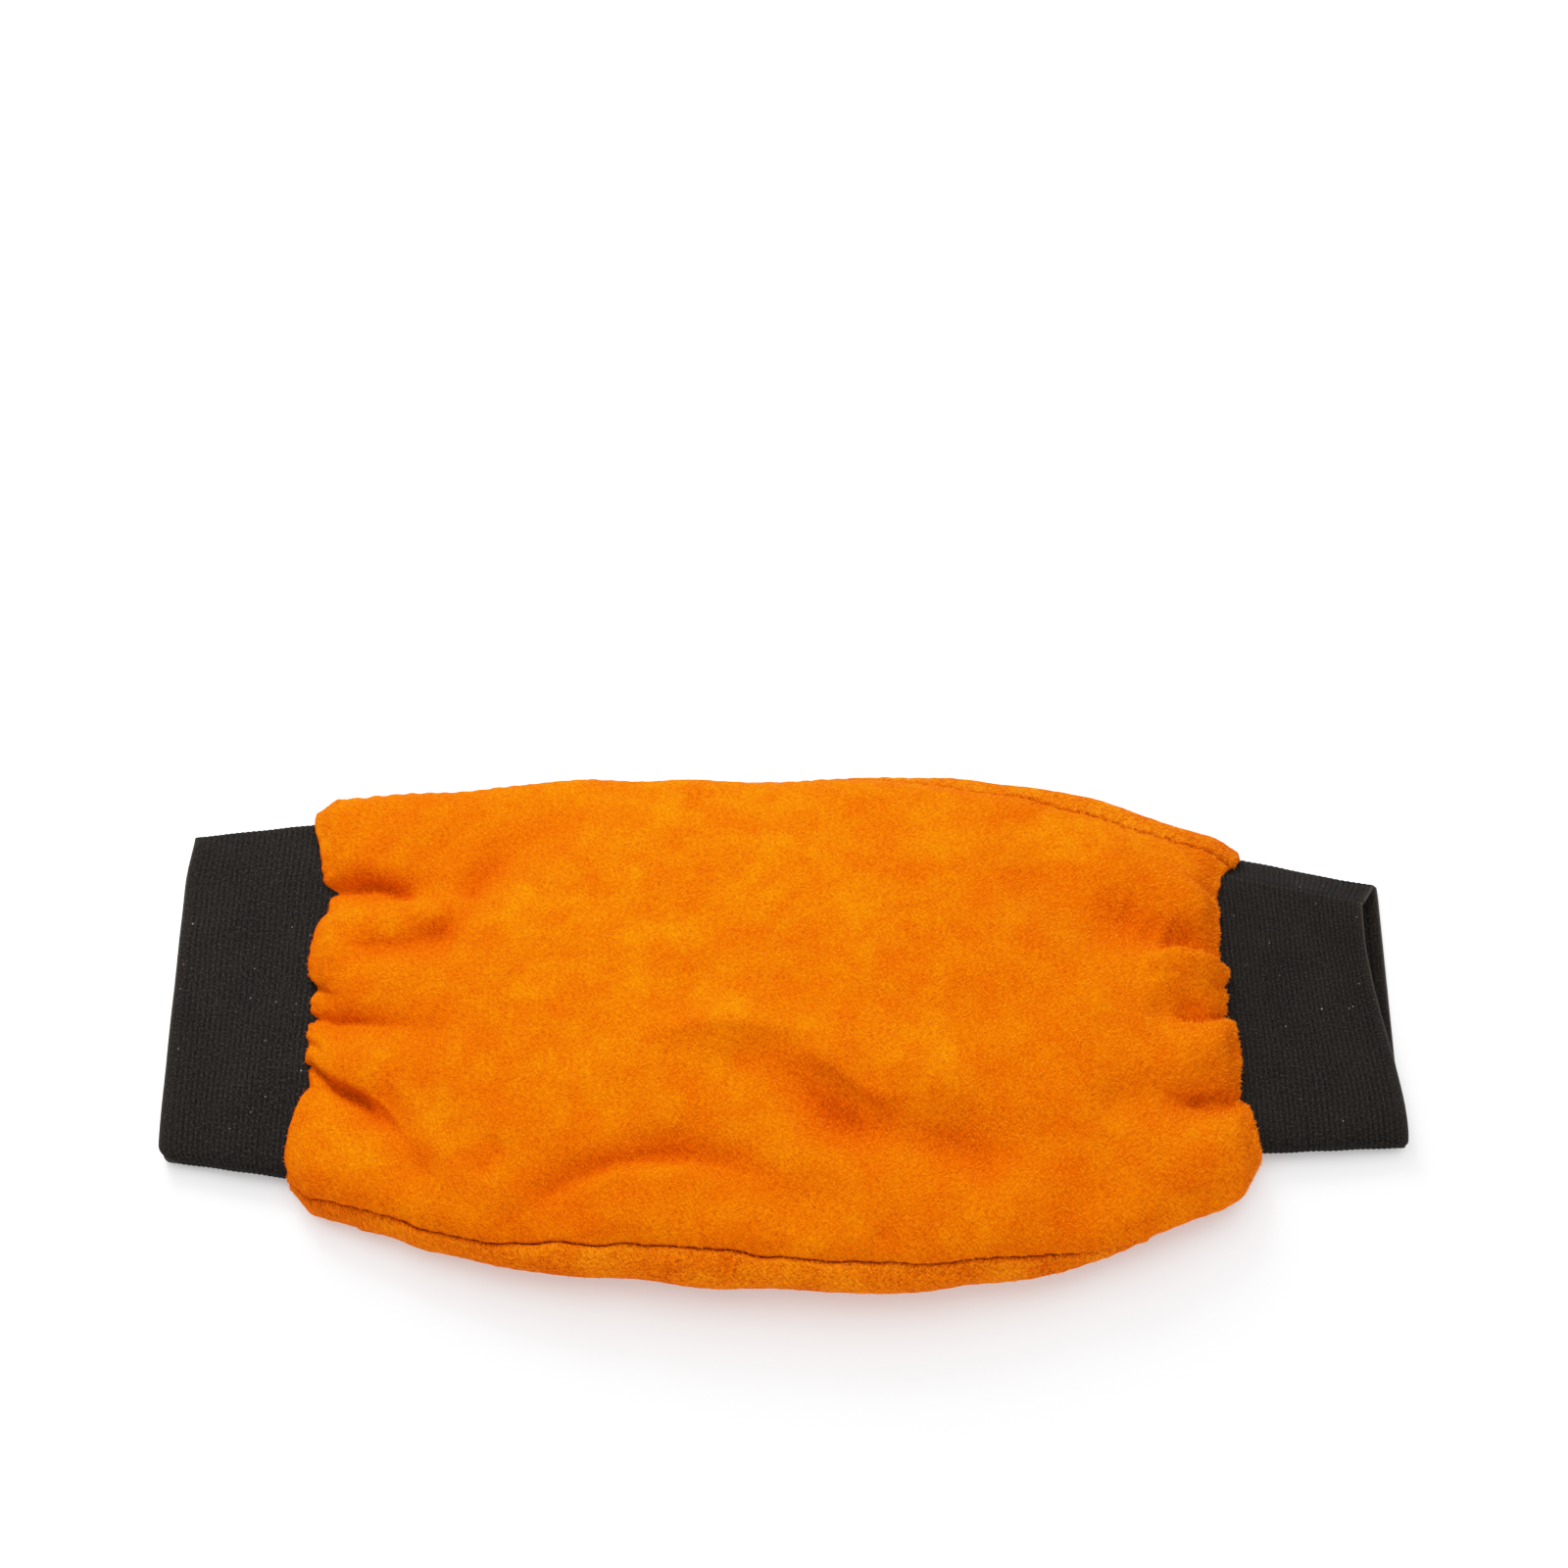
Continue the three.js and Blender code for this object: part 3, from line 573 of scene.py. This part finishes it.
def rolled_edge(radius, wall, turn):
    """Profile of an edge turned inwards, from its hidden end to where it joins the surface: for the
    outer and for the inner face, the distance from the edge and the depth, and the share of turn."""
    angles = np.radians(np.arange(90, 0, -18))
    outer = [(0.0, radius, share) for share in (1.0, 0.5)]
    outer += [(radius * (1 - math.sin(a)), radius * (1 - math.cos(a)), 0.0) for a in angles]
    bend = max(radius - wall, 0.05)
    inner = [(wall, radius, share) for share in (1.0, 0.5)]
    inner += [(radius - bend * math.sin(a), radius - bend * math.cos(a), 0.0) for a in angles]
    scale = np.array([1.0, 1.0, turn])
    return np.array(outer) * scale, np.array(inner) * scale


def leather_panel(start_seam, end_seam, column_step):
    """Outer and inner grids of one panel, from the seam at one side to the seam at the other, each
    with the surface coordinates and the painted shade of its folds, creases and turned edges."""
    hem_outer, hem_inner = rolled_edge(EDGE_ROLL, LEATHER_WALL, 1.0)
    seam_outer, seam_inner = rolled_edge(EDGE_ROLL, LEATHER_WALL, SEAM_TURN)
    length = LEATHER_LENGTH
    inner_rows = np.concatenate(
        [
            spaced(EDGE_ROLL, FINE_BAND, FINE_STEP),
            spaced(FINE_BAND, length - FINE_BAND, COARSE_STEP)[1:-1],
            spaced(length - FINE_BAND, length - EDGE_ROLL, FINE_STEP),
        ]
    )
    middle = np.linspace(0.0, 1.0, round(BODY_HALF / column_step))
    grids = []
    for hem, side, wall in ((hem_outer, seam_outer, 0.0), (hem_inner, seam_inner, LEATHER_WALL)):
        row_inwards = np.concatenate([hem[:, 0], inner_rows, length - hem[::-1, 0]])
        row_depth = np.concatenate([hem[:, 1], np.full(len(inner_rows), wall), hem[::-1, 1]])
        row_turn = np.concatenate([hem[:, 2], np.zeros(len(inner_rows)), hem[::-1, 2]])
        at = (row_inwards / length)[:, None]
        reach = over_top(at)
        first = start_seam(at) + (SEAM_GAP / 2 + side[:, 0]) / reach
        last = end_seam(at) - (SEAM_GAP / 2 + side[::-1, 0]) / reach
        low = start_seam(at) + (SEAM_GAP / 2 + EDGE_ROLL) / reach
        high = end_seam(at) - (SEAM_GAP / 2 + EDGE_ROLL) / reach
        around = np.concatenate([first, low + (high - low) * middle, last], axis=1)
        at = np.broadcast_to(at, around.shape)
        ends = side[:, 1] + side[:, 2]
        column_depth = np.concatenate([ends, np.full(len(middle), wall), ends[::-1]])
        drop = HEM_PUFF * np.where(
            at < 0.5,
            follow(UPPER_PUFFS, "around", "puff", around, 2.0),
            follow(WRIST_PUFFS, "around", "puff", around, 2.0),
        )
        contact = LEATHER_WALL + CUFF_CLEARANCE + np.maximum(0.0, drop) - EDGE_ROLL - TURN_CLEARANCE
        depth = np.maximum(row_depth[:, None] + row_turn[:, None] * contact, column_depth[None, :])
        face = leather_smooth(at, around)
        normal = outward(leather_smooth, at, around)
        relief = fine_relief(at, around)
        point = face + normal * (relief - depth)[..., None]
        point[..., 2] = np.maximum(wall, point[..., 2])
        wrapped = around % 2.0
        # Painted shade: the folds, the creases and the turned edges darken the suede's colour where
        # shade falls in them.
        folds = FOLD_SHADE * folds_in(at, wrapped) * clear_of_hem(at)
        creases = CREASE_SHADE * np.maximum(0.0, creases_in(at, wrapped))
        painted_shade = np.where(wrapped < 1, folds + creases, 0.0)
        painted_shade = painted_shade + EDGE_SHADE * np.clip(depth - wall, 0.0, EDGE_ROLL) / EDGE_ROLL
        surface = np.stack([at * length, around * over_top(at)], axis=-1)
        grids.append((point, surface, painted_shade))
    return grids


def cuff_point(cuff, at, around):
    """A cuff's outside, with at from its mouth (0) to where it enters the leather (1) and beyond."""
    share = np.clip(at, 0.0, 1.0)
    mouth_y, mouth_z = point_at(cuff["mouth_loop"], around)
    joint_y, joint_z = point_at(cuff["joint_loop"], around)
    mouth = cuff["mouth"]
    farness = np.clip((mouth_y - mouth["shift"]) / mouth["width"] + 0.5, 0.0, 1.0)
    height = mouth_z / mouth["thickness"]
    short = ease((farness - cuff["recess_from"]) / (cuff["recess_to"] - cuff["recess_from"]))
    from_corner = np.clip(farness * mouth["width"] / cuff["corner"], 0.0, 1.0)
    rounded = cuff["corner"] * (1 - np.sqrt(1 - (1 - from_corner) ** 2))
    reach = cuff["shown"] + cuff["skew"] * (farness - 0.5) - cuff["recess"] * height * short - rounded
    reach = reach * (1 - share) - np.maximum(0.0, at - 1) * cuff["shown"]
    x = cuff["side"] * (LEATHER_LENGTH / 2 + reach)
    return np.stack([x, mix(mouth_y, joint_y, share), mix(mouth_z, joint_z, share)], axis=-1)


def bend_at(cuff, around):
    """How far a place around a cuff lies from its crease on the far side."""
    upper = np.linspace(0.75, 1.0, 500)
    y, z = point_at(cuff["mouth_loop"], upper)
    turn = np.gradient(np.arctan2(np.gradient(z), np.gradient(y)))
    return around - upper[np.abs(turn).argmax()]


def elastic_cuff(cuff):
    """Outer and inner grids of one cuff, from its mouth to its hidden end inside the leather, each
    with painted shade for its colour: the depth of its grooves, below 0 where it is paler along the
    mouth and painted as a highlight along the crease, and higher for a painted shadow past the crease."""
    total = cuff["shown"] + CUFF_TUCK
    angles = np.radians(np.arange(90, 0, -30))
    roll_inwards = ELASTIC_ROLL * (1 - np.sin(angles))
    roll_depth = ELASTIC_ROLL * (1 - np.cos(angles))
    length_rows = spaced(ELASTIC_ROLL, total, RIB_PITCH / ROWS_PER_RIB)
    half = np.linspace(0.0, 1.0, CUFF_COLUMNS // 2 + 1)[:-1]
    half = mix(half, 0.5 - 0.5 * np.cos(math.pi * half), CROWDING)
    around = np.concatenate([half, 1 + half])[None, :]
    grids = []
    for wall in (0.0, ELASTIC_WALL):
        row_inwards = np.concatenate([roll_inwards, length_rows])
        sink = roll_depth if wall == 0.0 else wall - roll_depth
        row_depth = np.concatenate([sink, np.full(len(length_rows), wall)])
        at = np.broadcast_to((row_inwards / cuff["shown"])[:, None], (len(row_inwards), around.shape[1]))
        place = np.broadcast_to(around, at.shape)
        face = cuff_point(cuff, at, place)
        normal = outward(partial(cuff_point, cuff), at, place) * -cuff["side"]
        normal[..., 0] = 0.0
        normal /= np.linalg.norm(normal, axis=-1)[..., None]
        down = row_inwards[:, None] + 0 * place
        across = place * CUFF_SPREAD
        run = down + RIB_WANDER * waves(*RIB_WAVES, down, across)
        rib = np.cos(2 * math.pi * (run - SELVEDGE) / RIB_PITCH)
        fade = ease((down - SELVEDGE) / RIB_PITCH)
        relief = RIB_DEPTH * 0.5 * (rib - 1) * fade
        relief = relief if wall == 0.0 else -relief
        relief = relief + CUFF_UNEVEN * waves(*ELASTIC_WAVES, down, across)
        point = face + normal * (relief - row_depth[:, None])[..., None]
        point[..., 2] = np.maximum(wall, point[..., 2])
        coordinates = np.stack([down, across], axis=-1)
        past_bend = bend_at(cuff, around) * CUFF_SPREAD
        # Paler along the mouth; a painted highlight along the crease, and a painted shadow just past it.
        mouth_pale = bell(down, 0.7)
        bend_highlight = 0.5 * bell(past_bend, 0.8)
        bend_shade = 0.9 * bell(past_bend - 2.6, 1.5)
        # Painted shade in the rib grooves.
        groove_shade = 0.5 * (1 - rib) * fade
        grids.append((point, coordinates, groove_shade - mouth_pale - bend_highlight + bend_shade))
    return grids


def make_wall(name, grids, closed, flip=False):
    """A closed mesh between an outer and an inner grid of points."""
    rows, columns = grids[0][0].shape[:2]
    corners = np.arange(2 * rows * columns).reshape(2, rows, columns)
    if closed:
        corners = np.concatenate([corners, corners[:, :, :1]], axis=2)
    out, inn = corners

    def quads(a, b, c, d):
        return np.stack([x.ravel() for x in (a, b, c, d)], axis=1)

    faces = [
        quads(out[:-1, :-1], out[1:, :-1], out[1:, 1:], out[:-1, 1:]),
        quads(inn[:-1, :-1], inn[:-1, 1:], inn[1:, 1:], inn[1:, :-1]),
        quads(out[0, :-1], out[0, 1:], inn[0, 1:], inn[0, :-1]),
        quads(out[-1, :-1], inn[-1, :-1], inn[-1, 1:], out[-1, 1:]),
    ]
    if not closed:
        faces.append(quads(out[:-1, 0], inn[:-1, 0], inn[1:, 0], out[1:, 0]))
        faces.append(quads(out[:-1, -1], out[1:, -1], inn[1:, -1], inn[:-1, -1]))
    faces = np.concatenate(faces)
    if flip:
        faces = faces[:, ::-1]
    points = np.concatenate([g[0].reshape(-1, 3) for g in grids])
    surface = np.concatenate([g[1].reshape(-1, 2) for g in grids])
    painted_shade = np.concatenate([g[2].ravel() for g in grids])
    mesh = bpy.data.meshes.new(name)
    mesh.vertices.add(len(points))
    mesh.vertices.foreach_set("co", ((points + ORIGIN) * MM).astype(np.float32).ravel())
    mesh.loops.add(faces.size)
    mesh.loops.foreach_set("vertex_index", faces.astype(np.int32).ravel())
    mesh.polygons.add(len(faces))
    mesh.polygons.foreach_set("loop_start", np.arange(0, faces.size, 4, dtype=np.int32))
    mesh.update(calc_edges=True)
    mesh.validate()
    layer = mesh.uv_layers.new(name="surface")
    layer.data.foreach_set("uv", (surface[faces.ravel()] * MM).astype(np.float32).ravel())
    # The painted shade for the colour, kept with each point.
    attribute = mesh.attributes.new("painted_shade", "FLOAT", "POINT")
    attribute.data.foreach_set("value", painted_shade.astype(np.float32))
    mesh.polygons.foreach_set("use_smooth", np.ones(len(faces), dtype=bool))
    piece = bpy.data.objects.new(name, mesh)
    bpy.context.scene.collection.objects.link(piece)
    return piece


def make_fibres(name, roots, normals, along, lengths, seed):
    """Loose fibres, each two thin faces that lean over along the surface and taper to a point."""
    rng = np.random.default_rng(seed)
    count = len(roots)
    side = np.cross(normals, along)
    side /= np.linalg.norm(side, axis=1)[:, None] + 1e-9
    turn = rng.uniform(-FIBRE_TURN, FIBRE_TURN, count)[:, None]
    lean = along * np.cos(turn) + side * np.sin(turn)
    across = np.cross(normals, lean)
    rise = rng.uniform(*FIBRE_RISES, count)[:, None]
    tip_rise = rise * rng.uniform(*TIP_RISES, count)[:, None]
    length = lengths[:, None]
    middle = roots + length * 0.5 * (lean + normals * rise)
    tip = roots + length * (lean * TIP_REACH + normals * tip_rise)
    low = roots - normals * FIBRE_ROOT
    half = across * FIBRE_WIDTH / 2
    points = np.stack([low - half, low + half, middle + half, middle - half, tip], axis=1)
    points[..., 2] = np.maximum(points[..., 2], 0.0)
    base = np.arange(count)[:, None] * 5
    quads = base + np.array([0, 1, 2, 3])
    tips = base + np.array([3, 2, 4])
    mesh = bpy.data.meshes.new(name)
    faces = [tuple(f) for f in quads.tolist()] + [tuple(f) for f in tips.tolist()]
    mesh.from_pydata(((points.reshape(-1, 3) + ORIGIN) * MM).tolist(), [], faces)
    piece = bpy.data.objects.new(name, mesh)
    bpy.context.scene.collection.objects.link(piece)
    return piece


def pick(grid, weights, count, seed):
    """Random places of a grid, with their outward and lengthwise directions."""
    rng = np.random.default_rng(seed)
    point = grid[0]
    along = np.gradient(point, axis=0)
    across = np.gradient(point, axis=1)
    normal = np.cross(along, across)
    area = np.linalg.norm(normal, axis=-1) * weights
    chosen = rng.choice(area.size, count, p=(area / area.sum()).ravel())
    normal = normal.reshape(-1, 3)[chosen]
    normal /= np.linalg.norm(normal, axis=1)[:, None] + 1e-9
    along = along.reshape(-1, 3)[chosen]
    across = across.reshape(-1, 3)[chosen]
    shake = rng.uniform(-0.5, 0.5, (2, count, 1))
    roots = point.reshape(-1, 3)[chosen] + across * shake[0] + along * shake[1]
    along = along / (np.linalg.norm(along, axis=1)[:, None] + 1e-9)
    return roots, normal, along


# Materials


class Nodes:
    """A material's node tree, with short ways to add and join nodes."""

    def __init__(self, name):
        self.material = bpy.data.materials.new(name)
        self.material.use_nodes = True
        self.tree = self.material.node_tree
        self.shader = self.tree.nodes["Principled BSDF"]

    def add(self, kind, inputs=(), **settings):
        node = self.tree.nodes.new(kind)
        for key, value in settings.items():
            setattr(node, key, value)
        for key, value in dict(inputs).items():
            if isinstance(value, bpy.types.NodeSocket):
                self.tree.links.new(value, node.inputs[key])
            else:
                node.inputs[key].default_value = value
        return node

    def noise(self, vector, scale, detail=4.0, roughness=0.55):
        inputs = {"Vector": vector, "Scale": scale, "Detail": detail, "Roughness": roughness}
        return self.add("ShaderNodeTexNoise", inputs).outputs["Fac"]

    def turned(self, vector, angle):
        node = self.add("ShaderNodeVectorRotate", {"Vector": vector, "Angle": angle})
        return node.outputs["Vector"]

    def stretched(self, vector, scale):
        node = self.add("ShaderNodeMapping", {"Vector": vector, "Scale": scale})
        return node.outputs["Vector"]

    def spread(self, value, low, high, to_low=0.0, to_high=1.0):
        inputs = {0: value, 1: low, 2: high, 3: to_low, 4: to_high}
        return self.add("ShaderNodeMapRange", inputs).outputs[0]

    def maths(self, operation, a, b):
        return self.add("ShaderNodeMath", {0: a, 1: b}, operation=operation).outputs[0]

    def blend(self, share, a, b):
        node = self.add("ShaderNodeMix", data_type="RGBA")
        for key, value in ((0, share), (6, a), (7, b)):
            if isinstance(value, bpy.types.NodeSocket):
                self.tree.links.new(value, node.inputs[key])
            else:
                node.inputs[key].default_value = value
        return node.outputs[2]


def colour(red, green, blue):
    """A colour from its 0 to 255 display values."""
    linear = []
    for value in (red, green, blue):
        value /= 255
        linear.append(value / 12.92 if value <= 0.04045 else ((value + 0.055) / 1.055) ** 2.4)
    return (*linear, 1.0)


# Noise cells for each metre, of the suede's patches of tone, fine grain and slanting nap
PATCHES = 34.0
CLOUDS = 48.0
BLOTCHES = 110.0
GRAIN = 2200.0
NAP = (520.0, 1400.0, 1.0)
NAP_SLANTS = (0.9, -0.5)

# The same for the elastic's patches, yarn and broken ribs
ELASTIC_PATCHES = 60.0
YARN = (1500.0, 1100.0, 1.0)
KNIT = (260.0, 1000.0, 1.0)

# Specks of lint: cells for each metre, size as a share of a cell, share of cells left bare, strength
LINT = [(420.0, 0.16, 0.93, 0.5), (260.0, 0.11, 0.96, 0.8)]


def suede(name, pale, body_shade, deep, dark, nap_bump, streaks):
    """Suede in four tones, deep and dark also painted shade. nap_bump and streaks say how much the nap
    shows in relief and in tone.
    """
    n = Nodes(name)
    uv = n.add("ShaderNodeUVMap", uv_map="surface").outputs["UV"]
    place = n.add("ShaderNodeTexCoord").outputs["Object"]
    painted_shade = n.add("ShaderNodeAttribute", attribute_name="painted_shade").outputs["Fac"]
    patches = n.spread(n.noise(place, PATCHES, 3.0), 0.4, 0.6)
    blotches = n.spread(n.noise(place, BLOTCHES, 4.0, 0.6), 0.4, 0.6)
    nap, cross_nap = (
        n.noise(n.stretched(n.turned(uv, slant), NAP), 1.0, 4.0, 0.65) for slant in NAP_SLANTS
    )
    nap = n.maths("ADD", n.maths("MULTIPLY", nap, 0.5), n.maths("MULTIPLY", cross_nap, 0.5))
    grain = n.noise(n.turned(place, 0.6), GRAIN, 3.0, 0.6)
    clouds = n.spread(n.noise(place, CLOUDS, 5.0, 0.62), 0.44, 0.7, 0.0, 0.75)
    tone = n.maths("ADD", n.maths("MULTIPLY", patches, 0.5), n.maths("MULTIPLY", blotches, 0.5))
    body = n.blend(clouds, n.blend(tone, body_shade, pale), deep)
    # Painted shade: the folds, creases and turned edges deepen the colour towards deep, and the deepest
    # ones towards dark.
    body = n.blend(n.spread(painted_shade, 0.0, 0.45), body, deep)
    body = n.blend(n.spread(painted_shade, 0.42, 0.9), body, dark)
    speck = n.spread(nap, 0.35, 0.65, 1.0 - streaks, 1.0 + 0.6 * streaks)
    fleck = n.spread(grain, 0.3, 0.7, 1.0 - 0.6 * streaks, 1.0 + 0.4 * streaks)
    strength = n.maths("MULTIPLY", speck, fleck)
    tinted = n.add("ShaderNodeHueSaturation", {"Value": strength, "Color": body}).outputs["Color"]
    n.tree.links.new(tinted, n.shader.inputs["Base Color"])
    relief = n.maths("ADD", n.maths("MULTIPLY", nap, 0.6), n.maths("MULTIPLY", grain, 0.4))
    bump = n.add("ShaderNodeBump", {"Strength": nap_bump, "Distance": 0.0006, "Height": relief})
    n.tree.links.new(bump.outputs["Normal"], n.shader.inputs["Normal"])
    n.shader.inputs["Roughness"].default_value = 0.95
    n.shader.inputs["Specular IOR Level"].default_value = 0.015
    n.shader.inputs["Sheen Weight"].default_value = 0.05
    n.shader.inputs["Sheen Roughness"].default_value = 0.5
    n.shader.inputs["Sheen Tint"].default_value = pale
    return n.material


def elastic():
    n = Nodes("ribbed_elastic")
    uv = n.add("ShaderNodeUVMap", uv_map="surface").outputs["UV"]
    place = n.add("ShaderNodeTexCoord").outputs["Object"]
    groove_shade = n.add("ShaderNodeAttribute", attribute_name="painted_shade").outputs["Fac"]
    yarn = n.noise(n.stretched(uv, YARN), 1.0, 3.0, 0.7)
    patches = n.spread(n.noise(place, ELASTIC_PATCHES, 3.0), 0.35, 0.65)
    body = n.blend(patches, colour(15, 13, 12), colour(20, 18, 16))
    body = n.blend(n.spread(yarn, 0.48, 0.66, 0.0, 0.7), body, colour(52, 47, 43))
    knit = n.spread(n.noise(n.stretched(uv, KNIT), 1.0, 2.0), 0.35, 0.65, 0.1, 0.8)
    # Painted shade: the rib grooves and the band past the crease darken towards black, broken up by the
    # knit.
    body = n.blend(n.maths("MULTIPLY", n.spread(groove_shade, 0.25, 0.9), knit), body, colour(6, 6, 6))
    # Paler along the mouth, and a painted highlight along the crease.
    body = n.blend(n.spread(groove_shade, 0.0, -1.0, 0.0, 0.8), body, colour(58, 54, 50))
    for scale, reach, rarity, strength in LINT:
        dots = n.add("ShaderNodeTexVoronoi", {"Vector": place, "Scale": scale})
        near = n.spread(dots.outputs["Distance"], reach * 0.4, reach, strength, 0.0)
        rare = n.add("ShaderNodeSeparateColor", {"Color": dots.outputs["Color"]}).outputs[0]
        lint = n.maths("MULTIPLY", near, n.maths("GREATER_THAN", rare, rarity))
        body = n.blend(lint, body, colour(120, 112, 100))
    n.tree.links.new(body, n.shader.inputs["Base Color"])
    bump = n.add("ShaderNodeBump", {"Strength": 0.5, "Distance": 0.0003, "Height": yarn})
    n.tree.links.new(bump.outputs["Normal"], n.shader.inputs["Normal"])
    n.shader.inputs["Roughness"].default_value = 0.85
    n.shader.inputs["Specular IOR Level"].default_value = 0.035
    return n.material


def single_colour(name, shade):
    n = Nodes(name)
    n.shader.inputs["Base Color"].default_value = shade
    n.shader.inputs["Roughness"].default_value = 0.9
    n.shader.inputs["Specular IOR Level"].default_value = 0.1
    return n.material


# In each suede, deep is the tone of the clouds and also the painted shade in the folds, creases and
# turned edges; dark is painted shade in the deepest of them.
top_suede = suede(
    "top_suede",
    pale=colour(215, 103, 1),
    body_shade=colour(198, 82, 0),
    deep=colour(199, 77, 0),
    dark=colour(146, 42, 0),
    nap_bump=0.9,
    streaks=0.5,
)
# The under panel's tones are paler than the top's: painted light on the near strip, which the far-side
# lamp doesn't reach. Its stronger nap and streaks are the flesh side's own, and its deep and dark tones
# are painted shade in its turned edges.
under_suede = suede(
    "under_suede",
    pale=colour(224, 112, 6),
    body_shade=colour(206, 90, 3),
    deep=colour(184, 66, 0),
    dark=colour(120, 34, 0),
    nap_bump=1.0,
    streaks=0.7,
)
black_elastic = elastic()
top_nap = single_colour("top_nap", colour(222, 116, 4))
under_nap = single_colour("under_nap", colour(226, 124, 14))

# Pieces


def seam(side, seed, at):
    """The place around the sleeve of one side seam."""
    x = at * LEATHER_LENGTH
    stray = SEAM_WANDER * waves(seed, *SEAM_WAVES, x, 0 * x)
    return follow(SEAMS, "at", side, at) + stray / over_top(at)


near_seam = partial(seam, "near", 7)
far_seam = partial(seam, "far", 8)


def place_piece(piece, material, node):
    piece.data.materials.append(material)
    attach(piece, "root")
    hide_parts(node)
    return piece


top_grids = leather_panel(near_seam, far_seam, TOP_STEP)
under_grids = leather_panel(far_seam, lambda at: 2 + near_seam(at), UNDER_STEP)
top = place_piece(make_wall("top_leather", top_grids, False), top_suede, "top_panel")
under = place_piece(
    make_wall("under_leather", under_grids, False), under_suede, "under_panel"
)
upper_cuff = place_piece(
    make_wall("upper_elastic", elastic_cuff(UPPER_CUFF), True),
    black_elastic,
    "upper_arm_cuff",
)
wrist_cuff = place_piece(
    make_wall("wrist_elastic", elastic_cuff(WRIST_CUFF), True, flip=True),
    black_elastic,
    "wrist_cuff",
)


def loose_nap(name, grid, count, edge_count, material, node, seed):
    """Sparse fibres all over a panel and denser ones along its edges."""
    rows, columns = grid[0].shape[:2]
    row = np.arange(rows)[:, None]
    column = np.arange(columns)[None, :]
    from_hem = np.minimum(row, rows - 1 - row) + 0 * column
    from_seam = np.minimum(column, columns - 1 - column) + 0 * row
    open_face = (from_hem > OPEN_LINES) & (from_seam > OPEN_LINES)
    by_hem = (from_hem > EDGE_ROWS[0]) & (from_hem < EDGE_ROWS[1])
    by_seam = (from_seam > EDGE_COLUMNS[0]) & (from_seam < EDGE_COLUMNS[1])
    edges = by_hem | by_seam
    rng = np.random.default_rng(seed)
    spots = [pick(grid, open_face + 1e-6, count, seed), pick(grid, edges + 1e-6, edge_count, seed + 1)]
    roots, normals, along = (np.concatenate([s[k] for s in spots]) for k in range(3))
    lengths = rng.uniform(*FIBRE_LENGTHS, count + edge_count)
    piece = make_fibres(name, roots, normals, along, lengths, seed + 2)
    return place_piece(piece, material, node)


top_fibres = loose_nap("top_fibres", top_grids[0], 26000, 5000, top_nap, "top_panel", 20)
under_fibres = loose_nap(
    "under_fibres", under_grids[0], 20000, 4000, under_nap, "under_panel", 30
)

# Surroundings: a pale floor, a soft light overhead and an even bright room.

floor_mesh = bpy.data.meshes.new("floor")
floor_mesh.from_pydata([(-3, -3, 0), (3, -3, 0), (3, 3, 0), (-3, 3, 0)], [], [(0, 1, 2, 3)])
floor = bpy.data.objects.new("floor", floor_mesh)
floor.location.z = -0.0002
bpy.context.scene.collection.objects.link(floor)
floor_mesh.materials.append(single_colour("pale_floor", (0.93, 0.93, 0.93, 1.0)))


def area_light(name, place, aim, size, power):
    data = bpy.data.lights.new(name, "AREA")
    data.shape = "DISK"
    data.size = size
    data.energy = power
    lamp = bpy.data.objects.new(name, data)
    lamp.location = place
    direction = np.array(aim) - np.array(place)
    lamp.rotation_mode = "QUATERNION"
    lamp.rotation_quaternion = Vector(direction).to_track_quat("-Z", "Y")
    bpy.context.scene.collection.objects.link(lamp)


area_light("overhead", place=(-0.15, 0.2, 1.3), aim=(0.0, 0.0, 0.0), size=1.3, power=12.0)
area_light("far_side", place=(-0.35, 0.85, 0.8), aim=(0.0, 0.0, 0.0), size=0.6, power=21.0)
area_light("front", place=(0.3, -1.2, 0.8), aim=(0.0, 0.0, 0.02), size=1.2, power=9.0)

world = bpy.data.worlds.new("room")
world.use_nodes = True
world.node_tree.nodes["Background"].inputs["Color"].default_value = (1.0, 1.0, 1.0, 1.0)
world.node_tree.nodes["Background"].inputs["Strength"].default_value = 0.82
bpy.context.scene.world = world

view = bpy.context.scene.view_settings
view.view_transform = "Standard"
view.use_curve_mapping = True
view.curve_mapping.white_level = (BRIGHTEST, BRIGHTEST, BRIGHTEST)
combined = view.curve_mapping.curves[3]
for light, shown in RESPONSE:
    combined.points.new(light / BRIGHTEST, shown)
view.curve_mapping.update()

camera_data = bpy.data.cameras.new("camera")
camera_data.sensor_width = 36.0
camera_data.lens = 54.0
camera = bpy.data.objects.new("camera", camera_data)
camera.location = (0.0003, -0.3414, 0.781)
camera.rotation_euler = (math.radians(30.0), 0.0, 0.0)
bpy.context.scene.collection.objects.link(camera)
bpy.context.scene.camera = camera
